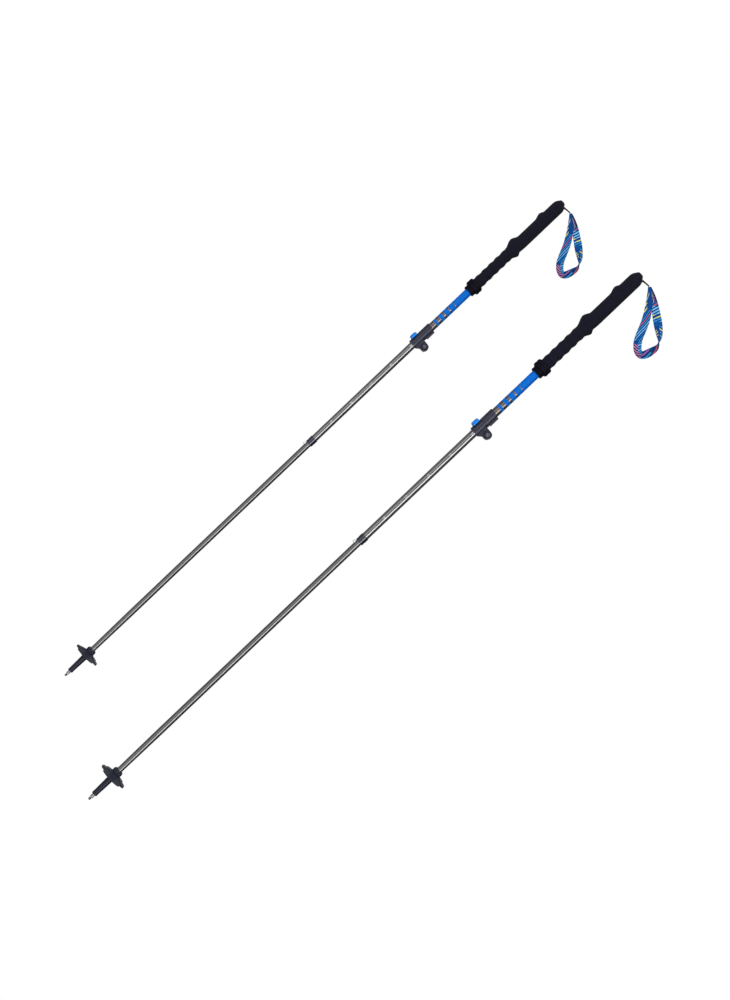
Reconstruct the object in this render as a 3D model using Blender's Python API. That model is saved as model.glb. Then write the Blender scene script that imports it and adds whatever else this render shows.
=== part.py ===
"""A pair of folding trekking poles with lever clamps, wavy foam grips and woven wrist straps.

Each pole stands upright with its point at the bottom. The right pole's point is the origin, +Z runs
up its shaft, -Y is its front and +X is the side that the wrist strap leaves from. The left pole is the
same pole, set beside the right one. Lengths here are millimetres and become metres in the mesh.
"""

import math

import bmesh
import bpy
from mathutils import Matrix, Vector

MM = 0.001
STEPS = 20
SMALL_STEPS = 12
PETAL_STEPS = 5
NUT_STEPS = 24
GAP = 0.3
SHARP_ANGLE = math.radians(35)

# Where the left pole's point stands, seen from the right pole's point
LEFT_POLE_AT = Vector((-188.5, 240.0, 51.3))

# Heights along a pole
POLE_TOP = 1252.0
FERRULE_BOTTOM = 4.8
SLEEVE_BOTTOM = 12.2
SLEEVE_SHOULDER = 48.7
SLEEVE_TOP = 67.6
BASKET_TOP = 62.0
NUT_TOP = 69.3
TAPER_TOP = 160.0
TIP_TUBE_BOTTOM = 44.0
FOLD_JOINT = 310.0
BUTTON_HEIGHT = 609.0
CENTRE_TUBE_TOP = 690.0
RING_BOTTOM = 613.0
RING_TOP = 627.7
CORD_ANCHOR_BOTTOM = 745.0
CLAMP_BOTTOM = 874.5
CLAMP_SEAM = 896.2
CLAMP_TOP = 923.9
GRADUATED_TOP = 1000.0
COLLAR_BOTTOM = 1014.7
FLANGE_BOTTOM = 1022.6
GRIP_BOTTOM = 1036.9
UPPER_TUBE_BOTTOM = 877.0
UPPER_TUBE_TOP = 1215.0

# Radii and walls of the metal point, its sleeve and the tubes
TIP_R = 2.0
TIP_STEM_R = 1.2
TIP_STEM_TOP = 11.0
FERRULE_R = 3.0
FERRULE_TOP = 34.0
SLEEVE_BORE_R = FERRULE_R + GAP
SLEEVE_FOOT_R = 5.05
SLEEVE_WAIST_R = 5.7
SLEEVE_SEAT_R = 6.2
TIP_TUBE_END_R = 4.75
TIP_TUBE_NUT_R = 4.95
CENTRE_TUBE_R = 5.6
THIN_WALL = 0.8
CENTRE_BORE_R = 4.85
GRADUATED_R = 6.6
GRADUATED_BORE_R = 5.85
UPPER_TUBE_R = 7.45
UPPER_BORE_R = 6.85
GRIP_BORE_R = UPPER_TUBE_R + GAP

# Clamp
CLAMP_R = 9.45
SCREW_X = 17.2
SCREW_Z = 887.3
SCREW_R = 1.3
SCREW_HEAD_R = 4.0
EAR_R = 8.0
EAR_FRONT_Y = -7.0
EAR_BACK_Y = 5.0
EAR_SLIT = 2.0
CLAMP_SLANT = 4.6
STOP_X = 11.2
STOP_HALF_WIDTH = 5.6
STOP_BOTTOM = 901.6
STOP_TOP = 921.4
KNOB_R = 5.8
LEVER_PIN_Y = 10.6
LEVER_PIN_R = 3.0
LEVER_BOTTOM = 880.8
LEVER_TOP = 894.6
LEVER_INNER_R = CLAMP_R + GAP
LEVER_OUTER_R = 12.2
LEVER_HUB_R = 5.2
LEVER_START_DEG = 60
LEVER_END_DEG = 220
TAB_OUTER_R = 15.2

# Snap button and tension cord
BUTTON_R = 2.75
BUTTON_PROUD_X = -9.6
CORD_R = 1.0
CORD_OFFSET = (2.6, 2.4)

# Basket
BASKET_R = 25.35
BASKET_BORE_R = 6.5
PETALS = 6
PETAL_NOTCH = 0.16

# Grip and strap
GRIP_R = 10.6
WAVE_PITCH = 16.0
WAVE_HEIGHT = 0.6
WAVE_CREST = 1046.0
WAVE_BOTTOM = 1038.0
WAVE_TOP = 1108.0
SWELL = (1112.0, 1150.0)
BACK_RIDGE = (1117.0, 1136.5, 1151.0)
HEAD_RIDGE = (1193.0, 1207.0, 1217.0)
FRONT_RIDGE = (1114.0, 1126.0, 1134.0)
SIDE_RIDGE = (1112.0, 1132.0, 1150.0)
DOME_BOTTOM = 1238.0
GRIP_CELL = 7.4
GRIP_STEPS = 18
STRAP_PIN_R = 1.3
STRAP_PIN_REACH = 9.2
STRAP_PIN_AT = (4.0, 1245.0)
STRAP_TOP = (23.6, 1249.0)
STRAP_HANG = (0.7247, -0.6891)
STRAP_THICK = 1.6


def clear_scene():
    for old in list(bpy.data.objects):
        bpy.data.objects.remove(old)


def material(name, colour, roughness, metallic=0.0):
    found = bpy.data.materials.get(name)
    if found:
        return found
    made = bpy.data.materials.new(name)
    made.use_nodes = True
    shader = made.node_tree.nodes["Principled BSDF"]
    shader.inputs["Base Color"].default_value = (*colour, 1.0)
    shader.inputs["Roughness"].default_value = roughness
    shader.inputs["Metallic"].default_value = metallic
    made.diffuse_color = (*colour, 1.0)
    return made


def finish(bm, name, pole, paint, pivot=(0.0, 0.0, 0.0)):
    """Turns a bmesh in millimetres into an object on a pole, with its origin at the pivot."""
    bmesh.ops.remove_doubles(bm, verts=bm.verts[:], dist=0.001)
    bmesh.ops.translate(bm, verts=bm.verts[:], vec=-Vector(pivot))
    bmesh.ops.scale(bm, verts=bm.verts[:], vec=(MM, MM, MM))
    bmesh.ops.recalc_face_normals(bm, faces=bm.faces[:])
    mesh = bpy.data.meshes.new(name)
    bm.to_mesh(mesh)
    bm.free()
    mesh.shade_smooth()
    mesh.set_sharp_from_angle(angle=SHARP_ANGLE)
    piece = bpy.data.objects.new(name, mesh)
    bpy.context.scene.collection.objects.link(piece)
    piece.parent = pole
    piece.location = Vector(pivot) * MM
    if paint:
        mesh.materials.append(paint)
    return piece


def boolean(piece, other, operation):
    """Joins or cuts a piece with a hidden tool object."""
    other.hide_render = True
    other.display_type = "WIRE"
    step = piece.modifiers.new(other.name, "BOOLEAN")
    step.operation = operation
    step.solver = "EXACT"
    step.object = other


def lathe(profile, closed=True, steps=STEPS):
    """Spins (radius, height) points about the shaft. An open profile starts and ends on the axis."""
    bm = bmesh.new()
    corners = [bm.verts.new((radius, 0.0, height)) for radius, height in profile]
    pairs = list(zip(corners, corners[1:]))
    if closed:
        pairs.append((corners[-1], corners[0]))
    edges = [bm.edges.new(pair) for pair in pairs]
    bmesh.ops.spin(
        bm,
        geom=corners + edges,
        axis=(0, 0, 1),
        cent=(0, 0, 0),
        angle=math.tau,
        steps=steps,
        use_duplicate=False,
    )
    bmesh.ops.remove_doubles(bm, verts=bm.verts[:], dist=0.001)
    return bm


def tube(outer_r, inner_r, bottom, top):
    return lathe([(inner_r, bottom), (outer_r, bottom), (outer_r, top), (inner_r, top)])


def rod(radius, start, end, steps=SMALL_STEPS):
    """A round bar between two points."""
    start, end = Vector(start), Vector(end)
    along = end - start
    turn = along.to_track_quat("Z", "Y").to_matrix().to_4x4()
    bm = bmesh.new()
    bmesh.ops.create_cone(
        bm,
        cap_ends=True,
        segments=steps,
        radius1=radius,
        radius2=radius,
        depth=along.length,
        matrix=Matrix.Translation((start + end) / 2) @ turn,
    )
    return bm


def block(low, high):
    """A box between two corners."""
    low, high = Vector(low), Vector(high)
    size = high - low
    bm = bmesh.new()
    place = Matrix.Translation((low + high) / 2) @ Matrix.Diagonal((*size, 1.0))
    bmesh.ops.create_cube(bm, size=1.0, matrix=place)
    return bm


def slab(outline, bottom, top, normal="Z"):
    """Extrudes an outline. With normal Z it holds (x, y) points, with normal Y it holds (x, z) points."""
    bm = bmesh.new()
    if normal == "Z":
        corners = [bm.verts.new((a, b, bottom)) for a, b in outline]
        travel = (0.0, 0.0, top - bottom)
    else:
        corners = [bm.verts.new((a, bottom, b)) for a, b in outline]
        travel = (0.0, top - bottom, 0.0)
    face = bm.faces.new(corners)
    made = bmesh.ops.extrude_face_region(bm, geom=[face])["geom"]
    moved = [g for g in made if isinstance(g, bmesh.types.BMVert)]
    bmesh.ops.translate(bm, verts=moved, vec=travel)
    return bm


def arc(centre, radius, start_deg, end_deg, count):
    """Points along an arc, both ends included."""
    points = []
    for i in range(count + 1):
        angle = math.radians(start_deg + (end_deg - start_deg) * i / count)
        points.append((centre[0] + radius * math.cos(angle), centre[1] + radius * math.sin(angle)))
    return points


def smooth_path(points, cuts, closed=False):
    """Catmull-Rom points through the given ones. Each point is a tuple of any length."""
    count = len(points)
    spans = count if closed else count - 1
    path = []
    for i in range(spans):
        if closed:
            around = [points[(i + k) % count] for k in (-1, 0, 1, 2)]
        else:
            around = [points[min(max(i + k, 0), count - 1)] for k in (-1, 0, 1, 2)]
        for step in range(cuts):
            t = step / cuts
            path.append(tuple(
                0.5 * (2 * b + (c - a) * t + (2 * a - 5 * b + 4 * c - d) * t * t
                       + (3 * b - a - 3 * c + d) * t ** 3)
                for a, b, c, d in zip(*around)
            ))
    if not closed:
        path.append(tuple(points[-1]))
    return path


def skin(rings, closed):
    """Joins rings of corners into one skin and fills the two ends unless it closes on itself."""
    bm = bmesh.new()
    loops = [[bm.verts.new(corner) for corner in ring] for ring in rings]
    pairs = list(zip(loops, loops[1:]))
    if closed:
        pairs.append((loops[-1], loops[0]))
    for lower, upper in pairs:
        for i in range(len(lower)):
            j = (i + 1) % len(lower)
            bm.faces.new((lower[i], lower[j], upper[j], upper[i]))
    if not closed:
        bm.faces.new(loops[0])
        bm.faces.new(loops[-1])
    return bm


def cord(path, radii, closed=False, steps=8):
    """A round cord along a path of (x, y, z) points, with a radius at each point."""
    rings = []
    count = len(path)
    side = None
    for i, point in enumerate(path):
        if closed:
            ahead, behind = path[(i + 1) % count], path[i - 1]
        else:
            ahead, behind = path[min(i + 1, count - 1)], path[max(i - 1, 0)]
        along = (Vector(ahead) - Vector(behind)).normalized()
        if side is None:
            side = along.orthogonal().normalized()
        side = (side - along * side.dot(along)).normalized()
        other = along.cross(side)
        ring = []
        for k in range(steps):
            angle = math.tau * k / steps
            ring.append(Vector(point) + radii[i] * (math.cos(angle) * side + math.sin(angle) * other))
        rings.append(ring)
    return skin(rings, closed)


def ramp(height, start, end):
    """0 before start, 1 after end, and a smooth rise between them."""
    t = min(max((height - start) / (end - start), 0.0), 1.0)
    return t * t * (3 - 2 * t)


def bump(height, start, peak, end):
    """A ridge that rises from start to peak and falls to end."""
    if height <= peak:
        return ramp(height, start, peak)
    return 1.0 - ramp(height, peak, end)


# Metal point, sleeve and basket

def make_carbide_tip(name, pole):
    profile = [
        (0.0, 0.0),
        (TIP_R - 0.2, 0.0),
        (TIP_R, 0.5),
        (TIP_R, FERRULE_BOTTOM - GAP),
        (TIP_STEM_R, FERRULE_BOTTOM - GAP),
        (TIP_STEM_R, TIP_STEM_TOP),
        (0.0, TIP_STEM_TOP),
    ]
    paint = material("tungsten_carbide", (0.16, 0.16, 0.17), 0.4, 0.9)
    finish(lathe(profile, closed=False, steps=SMALL_STEPS), name, pole, paint)


def make_tip_ferrule(name, pole):
    bore_r = TIP_STEM_R + GAP
    bore_top = TIP_STEM_TOP + 0.5
    profile = [
        (0.0, bore_top),
        (bore_r, bore_top),
        (bore_r, FERRULE_BOTTOM),
        (FERRULE_R - 0.6, FERRULE_BOTTOM),
        (FERRULE_R, FERRULE_BOTTOM + 0.9),
        (FERRULE_R, FERRULE_TOP),
        (0.0, FERRULE_TOP),
    ]
    paint = material("ferrule_steel", (0.6, 0.6, 0.62), 0.35, 1.0)
    finish(lathe(profile, closed=False, steps=SMALL_STEPS), name, pole, paint)


def make_tip_sleeve(name, pole):
    fit = 0.25
    profile = [
        (SLEEVE_BORE_R, SLEEVE_BOTTOM),
        (SLEEVE_FOOT_R - GAP, SLEEVE_BOTTOM),
        (SLEEVE_FOOT_R, SLEEVE_BOTTOM + 0.4),
        (SLEEVE_WAIST_R, SLEEVE_SHOULDER - 0.3),
        (SLEEVE_SEAT_R, SLEEVE_SHOULDER + 0.2),
        (SLEEVE_SEAT_R, SLEEVE_TOP),
        (TIP_TUBE_NUT_R + fit, SLEEVE_TOP),
        (TIP_TUBE_END_R + fit, TIP_TUBE_BOTTOM - GAP),
        (SLEEVE_BORE_R, TIP_TUBE_BOTTOM - GAP),
    ]
    finish(lathe(profile), name, pole, material("sleeve_plastic", (0.03, 0.032, 0.045), 0.5))


def petal_scale(angle):
    """How far the basket's rim reaches at an angle, as a share of its radius. The notches are narrow."""
    return 1.0 - PETAL_NOTCH * (0.5 - 0.5 * math.cos(PETALS * angle)) ** 4


def make_basket(name, pole):
    bottom = SLEEVE_SHOULDER + GAP
    hub_r = 8.9
    middle_r = 16.0
    rim_height = 54.7
    profile = [
        (BASKET_BORE_R, bottom),
        (hub_r, bottom),
        (hub_r + 0.5, bottom + 2.0),
        (middle_r, rim_height - 0.9),
        (BASKET_R - 1.15, rim_height - 1.0),
        (BASKET_R, rim_height),
        (middle_r, rim_height + 3.7),
        (hub_r, BASKET_TOP),
        (BASKET_BORE_R, BASKET_TOP),
    ]
    bm = lathe(profile, steps=PETALS * PETAL_STEPS)
    for corner in bm.verts:
        radius = math.hypot(corner.co.x, corner.co.y)
        if radius > middle_r - 1.0:
            scale = petal_scale(math.atan2(corner.co.y, corner.co.x))
            corner.co.x *= scale
            corner.co.y *= scale
    finish(bm, name, pole, material("basket_plastic", (0.028, 0.03, 0.042), 0.5))


def make_basket_nut(name, pole):
    outer_r = 8.9
    lip_r = TIP_TUBE_NUT_R + 0.4
    profile = [
        (BASKET_BORE_R, BASKET_TOP + GAP),
        (outer_r, BASKET_TOP + GAP),
        (outer_r, NUT_TOP - 1.3),
        (outer_r - 0.7, NUT_TOP),
        (lip_r, NUT_TOP),
        (lip_r, SLEEVE_TOP + GAP),
        (BASKET_BORE_R, SLEEVE_TOP + GAP),
    ]
    groove_depth = 0.6
    rib_r = outer_r - 0.1
    bm = lathe(profile, steps=NUT_STEPS)
    for corner in bm.verts:
        radius = math.hypot(corner.co.x, corner.co.y)
        turn = round(math.atan2(corner.co.y, corner.co.x) / math.tau * NUT_STEPS)
        if radius > rib_r and turn % 3 == 0:
            corner.co.x *= 1 - groove_depth / radius
            corner.co.y *= 1 - groove_depth / radius
    finish(bm, name, pole, material("nut_plastic", (0.022, 0.024, 0.036), 0.45))


# Lower tubes and the fold joint

def make_tip_tube(name, pole):
    outside = [
        (TIP_TUBE_END_R, TIP_TUBE_BOTTOM),
        (TIP_TUBE_NUT_R, NUT_TOP),
        (CENTRE_TUBE_R, TAPER_TOP),
        (CENTRE_TUBE_R, FOLD_JOINT),
    ]
    inside = [
        (CENTRE_TUBE_R - THIN_WALL, FOLD_JOINT),
        (CENTRE_TUBE_R - THIN_WALL, TAPER_TOP),
        (TIP_TUBE_END_R - THIN_WALL, TIP_TUBE_BOTTOM),
    ]
    paint = material("graphite_anodised_tube", (0.2, 0.2, 0.21), 0.3, 0.9)
    finish(lathe(outside + inside), name, pole, paint)


def make_fold_ferrule(name, pole):
    below, above = 28.0, 30.0
    outer_r = CENTRE_TUBE_R - THIN_WALL - GAP
    bm = tube(outer_r, outer_r - 1.2, FOLD_JOINT - below, FOLD_JOINT + above)
    finish(bm, name, pole, material("fold_ferrule_aluminium", (0.72, 0.72, 0.74), 0.3, 1.0))


def make_centre_tube(name, pole):
    bm = tube(CENTRE_TUBE_R, CENTRE_BORE_R, FOLD_JOINT + GAP, CENTRE_TUBE_TOP)
    paint = material("graphite_anodised_tube", (0.2, 0.2, 0.21), 0.3, 0.9)
    piece = finish(bm, name, pole, paint)
    hole = rod(BUTTON_R + GAP, (-9.0, 0.0, BUTTON_HEIGHT), (-2.0, 0.0, BUTTON_HEIGHT))
    boolean(piece, finish(hole, name + "_button_hole", pole, None), "DIFFERENCE")


def make_cord_stopper(name, pole):
    outer_r = 3.6
    bottom = 60.0
    bm = tube(outer_r, CORD_R + 0.4, bottom, bottom + 10.0)
    finish(bm, name, pole, material("stopper_plastic", (0.06, 0.06, 0.07), 0.5))


def make_cord_anchor(name, pole):
    bm = tube(GRADUATED_BORE_R - GAP, CORD_R + 0.4, CORD_ANCHOR_BOTTOM, CORD_ANCHOR_BOTTOM + 11.0)
    finish(bm, name, pole, material("stopper_plastic", (0.06, 0.06, 0.07), 0.5))


def make_tension_cord(name, pole):
    """The cord runs straight up the tubes and steps aside past the button's spring."""
    knot_r = 2.7
    end_r = 1.2
    aside_x, aside_y = CORD_OFFSET
    low, high = 53.5, 763.0
    stations = [
        (0.0, 0.0, low, end_r),
        (0.0, 0.0, low + 1.5, knot_r),
        (0.0, 0.0, low + 4.5, knot_r),
        (0.0, 0.0, low + 5.9, CORD_R),
        (0.0, 0.0, FOLD_JOINT + 35.0, CORD_R),
        (0.0, 0.0, BUTTON_HEIGHT - 69.0, CORD_R),
        (aside_x, aside_y, BUTTON_HEIGHT - 39.0, CORD_R),
        (aside_x, aside_y, CENTRE_TUBE_TOP, CORD_R),
        (0.0, 0.0, CENTRE_TUBE_TOP + 40.0, CORD_R),
        (0.0, 0.0, high - 6.0, CORD_R),
        (0.0, 0.0, high - 4.6, knot_r),
        (0.0, 0.0, high - 1.5, knot_r),
        (0.0, 0.0, high, end_r),
    ]
    path = [station[:3] for station in stations]
    radii = [station[3] for station in stations]
    finish(cord(path, radii), name, pole, material("tension_cord_fibre", (0.65, 0.63, 0.58), 0.8))


def make_snap_button(name, pole):
    """A round push button on the -X side, lying along X, with a flange that stays inside the tube."""
    flange_r = 2.9
    flange_x = -2.9
    profile = [
        (0.0, flange_x),
        (flange_r, flange_x),
        (flange_r, flange_x - 0.6),
        (BUTTON_R, flange_x - 0.6),
        (BUTTON_R, BUTTON_PROUD_X + 1.3),
        (BUTTON_R - 0.5, BUTTON_PROUD_X + 0.5),
        (BUTTON_R - 1.3, BUTTON_PROUD_X + 0.1),
        (0.0, BUTTON_PROUD_X),
    ]
    bm = lathe(profile, closed=False, steps=SMALL_STEPS)
    turn = Matrix.Rotation(math.radians(90), 4, "Y")
    bmesh.ops.transform(bm, matrix=Matrix.Translation((0.0, 0.0, BUTTON_HEIGHT)) @ turn, verts=bm.verts[:])
    paint = material("button_steel", (0.85, 0.85, 0.86), 0.25, 1.0)
    finish(bm, name, pole, paint, pivot=(0.0, 0.0, BUTTON_HEIGHT))


def make_button_spring(name, pole):
    """A narrow leaf bent into a U. One leg pushes the button out and the other rests on the far wall."""
    leaf = 0.4
    near_x, far_x = -2.6, 4.3
    bend_r = (far_x - near_x) / 2
    middle = (near_x + far_x) / 2
    bend_z = BUTTON_HEIGHT + 30.0
    foot_z = BUTTON_HEIGHT - 3.0
    outer = arc((middle, bend_z), bend_r, 0, 180, 10)
    inner = arc((middle, bend_z), bend_r - leaf, 180, 0, 10)
    outline = [(far_x, foot_z)] + outer + [(near_x, foot_z), (near_x + leaf, foot_z)] + inner
    outline.append((far_x - leaf, foot_z))
    half_width = 1.2
    bm = slab(outline, -half_width, half_width, normal="Y")
    finish(bm, name, pole, material("spring_steel", (0.5, 0.5, 0.52), 0.35, 1.0))


# Graduated tube

def make_graduated_tube(name, pole):
    bottom = RING_BOTTOM + 2.6
    bm = tube(GRADUATED_R, GRADUATED_BORE_R, bottom, GRADUATED_TOP)
    finish(bm, name, pole, material("graduated_tube_graphite", (0.27, 0.27, 0.28), 0.3, 0.9))


def make_guide_bush(name, pole):
    plug_r = GRADUATED_BORE_R - GAP
    plug_bottom = GRADUATED_TOP - 15.0
    bore_r = 4.6
    head_r = UPPER_BORE_R - 0.15
    head_top = GRADUATED_TOP + 4.0
    profile = [
        (bore_r, plug_bottom),
        (plug_r, plug_bottom),
        (plug_r, GRADUATED_TOP + GAP),
        (head_r, GRADUATED_TOP + GAP),
        (head_r, head_top),
        (bore_r, head_top),
    ]
    finish(lathe(profile), name, pole, material("bush_plastic", (0.5, 0.5, 0.48), 0.4))


def make_joint_ring(name, pole):
    throat_r = CENTRE_TUBE_R + GAP
    seat_r = GRADUATED_R + GAP
    outer_r = 7.5
    seat_z = RING_BOTTOM + 2.3
    profile = [
        (throat_r, RING_BOTTOM),
        (outer_r - 0.4, RING_BOTTOM),
        (outer_r, RING_BOTTOM + 0.6),
        (outer_r, RING_TOP - 0.6),
        (outer_r - 0.4, RING_TOP),
        (seat_r, RING_TOP),
        (seat_r, seat_z),
        (throat_r, seat_z),
    ]
    finish(lathe(profile), name, pole, material("ring_plastic", (0.012, 0.013, 0.03), 0.4))


# Upper tube and clamp

def make_upper_tube(name, pole):
    bm = tube(UPPER_TUBE_R, UPPER_BORE_R, UPPER_TUBE_BOTTOM, UPPER_TUBE_TOP)
    piece = finish(bm, name, pole, material("blue_anodised_tube", (0.003, 0.16, 0.68), 0.3, 0.6))
    slit = block((5.0, -0.8, UPPER_TUBE_BOTTOM - 2), (9.0, 0.8, CLAMP_SEAM + 3))
    boolean(piece, finish(slit, name + "_squeeze_slit", pole, None), "DIFFERENCE")


def ear_outline():
    """Side view of the clamp's ears: a lobe around the screw that runs into the body."""
    root_x = 6.0
    outline = [(root_x, CLAMP_BOTTOM + 1.2), (12.0, CLAMP_BOTTOM + 1.2)]
    outline += arc((SCREW_X, SCREW_Z), EAR_R, -115, 60, 10)
    outline += [(13.0, CLAMP_SEAM - 1.2), (root_x, CLAMP_SEAM - 1.2)]
    return outline


def stop_outline():
    """Side view of the block above the ears: it overhangs the seam with a small hook."""
    root_x, hook_x = 5.0, 8.4
    return [
        (root_x, STOP_BOTTOM - 2.6),
        (hook_x - 0.8, STOP_BOTTOM - 2.0),
        (hook_x, STOP_BOTTOM + 0.4),
        (STOP_X, STOP_BOTTOM),
        (STOP_X, STOP_TOP - 1.4),
        (STOP_X - 1.2, STOP_TOP),
        (root_x, STOP_TOP + 1.2),
    ]


def make_clamp_body(name, pole):
    body = lathe([
        (0.0, CLAMP_BOTTOM),
        (CLAMP_R - 0.7, CLAMP_BOTTOM),
        (CLAMP_R, CLAMP_BOTTOM + 0.7),
        (CLAMP_R, CLAMP_TOP - 1.0),
        (CLAMP_R - 1.0, CLAMP_TOP),
        (0.0, CLAMP_TOP),
    ], closed=False)
    piece = finish(body, name, pole, material("clamp_plastic", (0.042, 0.042, 0.065), 0.4))
    left, right, far = -14.0, 30.0, 14.0
    seam_end = (3.3, 0.7)
    seam_outline = [
        (left, -far),
        (right, -far),
        (right, far),
        (seam_end[0], far),
        seam_end,
        (left, seam_end[1]),
    ]
    seam_half = 0.35
    seam = slab(seam_outline, CLAMP_SEAM - seam_half, CLAMP_SEAM + seam_half)
    ears = slab(ear_outline(), EAR_FRONT_Y, EAR_BACK_Y, normal="Y")
    stop = slab(stop_outline(), -STOP_HALF_WIDTH, STOP_HALF_WIDTH, normal="Y")
    slant_outline = [
        (-far, CLAMP_TOP),
        (far, CLAMP_TOP - CLAMP_SLANT),
        (far, CLAMP_TOP + 3.0),
        (-far, CLAMP_TOP + 3.0),
    ]
    slant = slab(slant_outline, -far, far, normal="Y")
    bore = rod(UPPER_TUBE_R + GAP, (0, 0, UPPER_TUBE_BOTTOM - GAP), (0, 0, CLAMP_TOP + 5), STEPS)
    throat = rod(GRADUATED_R + GAP, (0, 0, CLAMP_BOTTOM - 5), (0, 0, UPPER_TUBE_BOTTOM + 2), STEPS)
    slit = block((4, -EAR_SLIT / 2, CLAMP_BOTTOM - 2), (right, EAR_SLIT / 2, CLAMP_SEAM))
    hole = rod(SCREW_R + GAP, (SCREW_X, -12, SCREW_Z), (SCREW_X, 12, SCREW_Z))
    boolean(piece, finish(ears, name + "_ears", pole, None), "UNION")
    boolean(piece, finish(stop, name + "_stop", pole, None), "UNION")
    cuts = {
        "slant": slant,
        "slit": slit,
        "hole": hole,
        "bore": bore,
        "throat": throat,
        "seam": seam,
    }
    for cut_name, cutter in cuts.items():
        boolean(piece, finish(cutter, f"{name}_{cut_name}", pole, None), "DIFFERENCE")


def make_clamp_lever(name, pole):
    """A C-shaped arm that wraps the back of the clamp from its pin to the -X side."""
    outer = arc((0, 0), LEVER_OUTER_R, LEVER_START_DEG, LEVER_END_DEG, 18)
    inner = arc((0, 0), LEVER_INNER_R, LEVER_END_DEG, LEVER_START_DEG, 18)
    pin = (SCREW_X, LEVER_PIN_Y)
    pivot = (SCREW_X, LEVER_PIN_Y, SCREW_Z)
    paint = material("lever_plastic", (0.035, 0.036, 0.055), 0.4)
    arm = slab(outer + inner, LEVER_BOTTOM, LEVER_TOP)
    piece = finish(arm, name, pole, paint, pivot=pivot)
    bridge = block((3.2, 9.95, LEVER_BOTTOM), (SCREW_X, 13.9, LEVER_TOP))
    hub = rod(LEVER_HUB_R, (*pin, LEVER_BOTTOM), (*pin, LEVER_TOP), STEPS)
    bore = rod(LEVER_PIN_R + GAP, (*pin, LEVER_BOTTOM - 2), (*pin, LEVER_TOP + 2), STEPS)
    slot_half = 2.2
    reach = 8.0
    slot = block(
        (SCREW_X - 1.9, LEVER_PIN_Y - reach, SCREW_Z - slot_half),
        (SCREW_X + reach, LEVER_PIN_Y + reach, SCREW_Z + slot_half),
    )
    boolean(piece, finish(bridge, name + "_bridge", pole, None), "UNION")
    boolean(piece, finish(hub, name + "_hub", pole, None), "UNION")
    boolean(piece, finish(bore, name + "_bore", pole, None), "DIFFERENCE")
    boolean(piece, finish(slot, name + "_screw_slot", pole, None), "DIFFERENCE")


def make_lever_tab(name, pole):
    start_deg, end_deg = 169, 225
    outer = arc((0, 0), TAB_OUTER_R, start_deg, end_deg, 9)
    inner = arc((0, 0), LEVER_OUTER_R + GAP, end_deg + 3, start_deg - 6, 11)
    bm = slab(outer + inner, LEVER_BOTTOM, LEVER_TOP)
    paint = material("tab_blue_plastic", (0.006, 0.2, 0.66), 0.35)
    piece = finish(bm, name, pole, paint, pivot=(SCREW_X, LEVER_PIN_Y, SCREW_Z))
    edge = piece.modifiers.new("soft_edges", "BEVEL")
    edge.width = 0.6 * MM
    edge.segments = 1
    edge.angle_limit = math.radians(40)


def make_lever_pin(name, pole):
    pin = (SCREW_X, LEVER_PIN_Y)
    bm = rod(LEVER_PIN_R, (*pin, LEVER_BOTTOM - 0.4), (*pin, LEVER_TOP + 0.4), STEPS)
    piece = finish(bm, name, pole, material("pin_steel", (0.55, 0.55, 0.57), 0.3, 1.0))
    hole = rod(SCREW_R + GAP, (SCREW_X, 4, SCREW_Z), (SCREW_X, 18, SCREW_Z))
    boolean(piece, finish(hole, name + "_cross_hole", pole, None), "DIFFERENCE")


def on_screw_axis(bm, name, pole, paint):
    """Turns a lathe made about Z so that it lies along Y on the screw's axis, top end forward."""
    turn = Matrix.Rotation(math.radians(90), 4, "X")
    place = Matrix.Translation((SCREW_X, 0.0, SCREW_Z)) @ turn
    bmesh.ops.transform(bm, matrix=place, verts=bm.verts[:])
    return finish(bm, name, pole, paint, pivot=(SCREW_X, 0.0, SCREW_Z))


def make_adjuster_knob(name, pole):
    back = -EAR_FRONT_Y + GAP
    front = 11.5
    dish_r = SCREW_HEAD_R + GAP
    floor = front - 2.6
    bm = lathe([
        (SCREW_R + GAP, back),
        (KNOB_R, back),
        (KNOB_R, front - 0.8),
        (KNOB_R - 0.8, front),
        (dish_r, front),
        (dish_r, floor),
        (SCREW_R + GAP, floor),
    ])
    on_screw_axis(bm, name, pole, material("knob_plastic", (0.02, 0.02, 0.035), 0.4))


def make_clamp_screw(name, pole):
    tail = -13.0
    head_bottom = 9.2
    head_top = 11.3
    bm = lathe([
        (0.0, tail),
        (SCREW_R, tail),
        (SCREW_R, head_bottom),
        (SCREW_HEAD_R, head_bottom),
        (SCREW_HEAD_R, head_top - 0.4),
        (SCREW_HEAD_R - 0.4, head_top),
        (0.0, head_top),
    ], closed=False, steps=16)
    piece = on_screw_axis(bm, name, pole, material("screw_steel", (0.35, 0.35, 0.4), 0.35, 0.9))
    reach, depth = 2.8, 0.7
    low = (SCREW_X - reach, -head_top - 0.7, SCREW_Z - 0.5)
    high = (SCREW_X + reach, -head_top + depth, SCREW_Z + 0.5)
    groove = block(low, high)
    boolean(piece, finish(groove, name + "_drive_slot", pole, None), "DIFFERENCE")


# Grip and strap

def make_grip_collar(name, pole):
    neck_r = 11.0
    flange_r = 14.65
    profile = [
        (GRIP_BORE_R, COLLAR_BOTTOM),
        (neck_r - 0.5, COLLAR_BOTTOM),
        (neck_r, COLLAR_BOTTOM + 0.6),
        (neck_r, FLANGE_BOTTOM),
        (flange_r - 1.1, FLANGE_BOTTOM),
        (flange_r, FLANGE_BOTTOM + 1.5),
        (flange_r, GRIP_BOTTOM - GAP - 1.5),
        (flange_r - 1.1, GRIP_BOTTOM - GAP),
        (GRIP_BORE_R, GRIP_BOTTOM - GAP),
    ]
    finish(lathe(profile), name, pole, material("collar_rubber", (0.007, 0.006, 0.011), 0.6))


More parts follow.
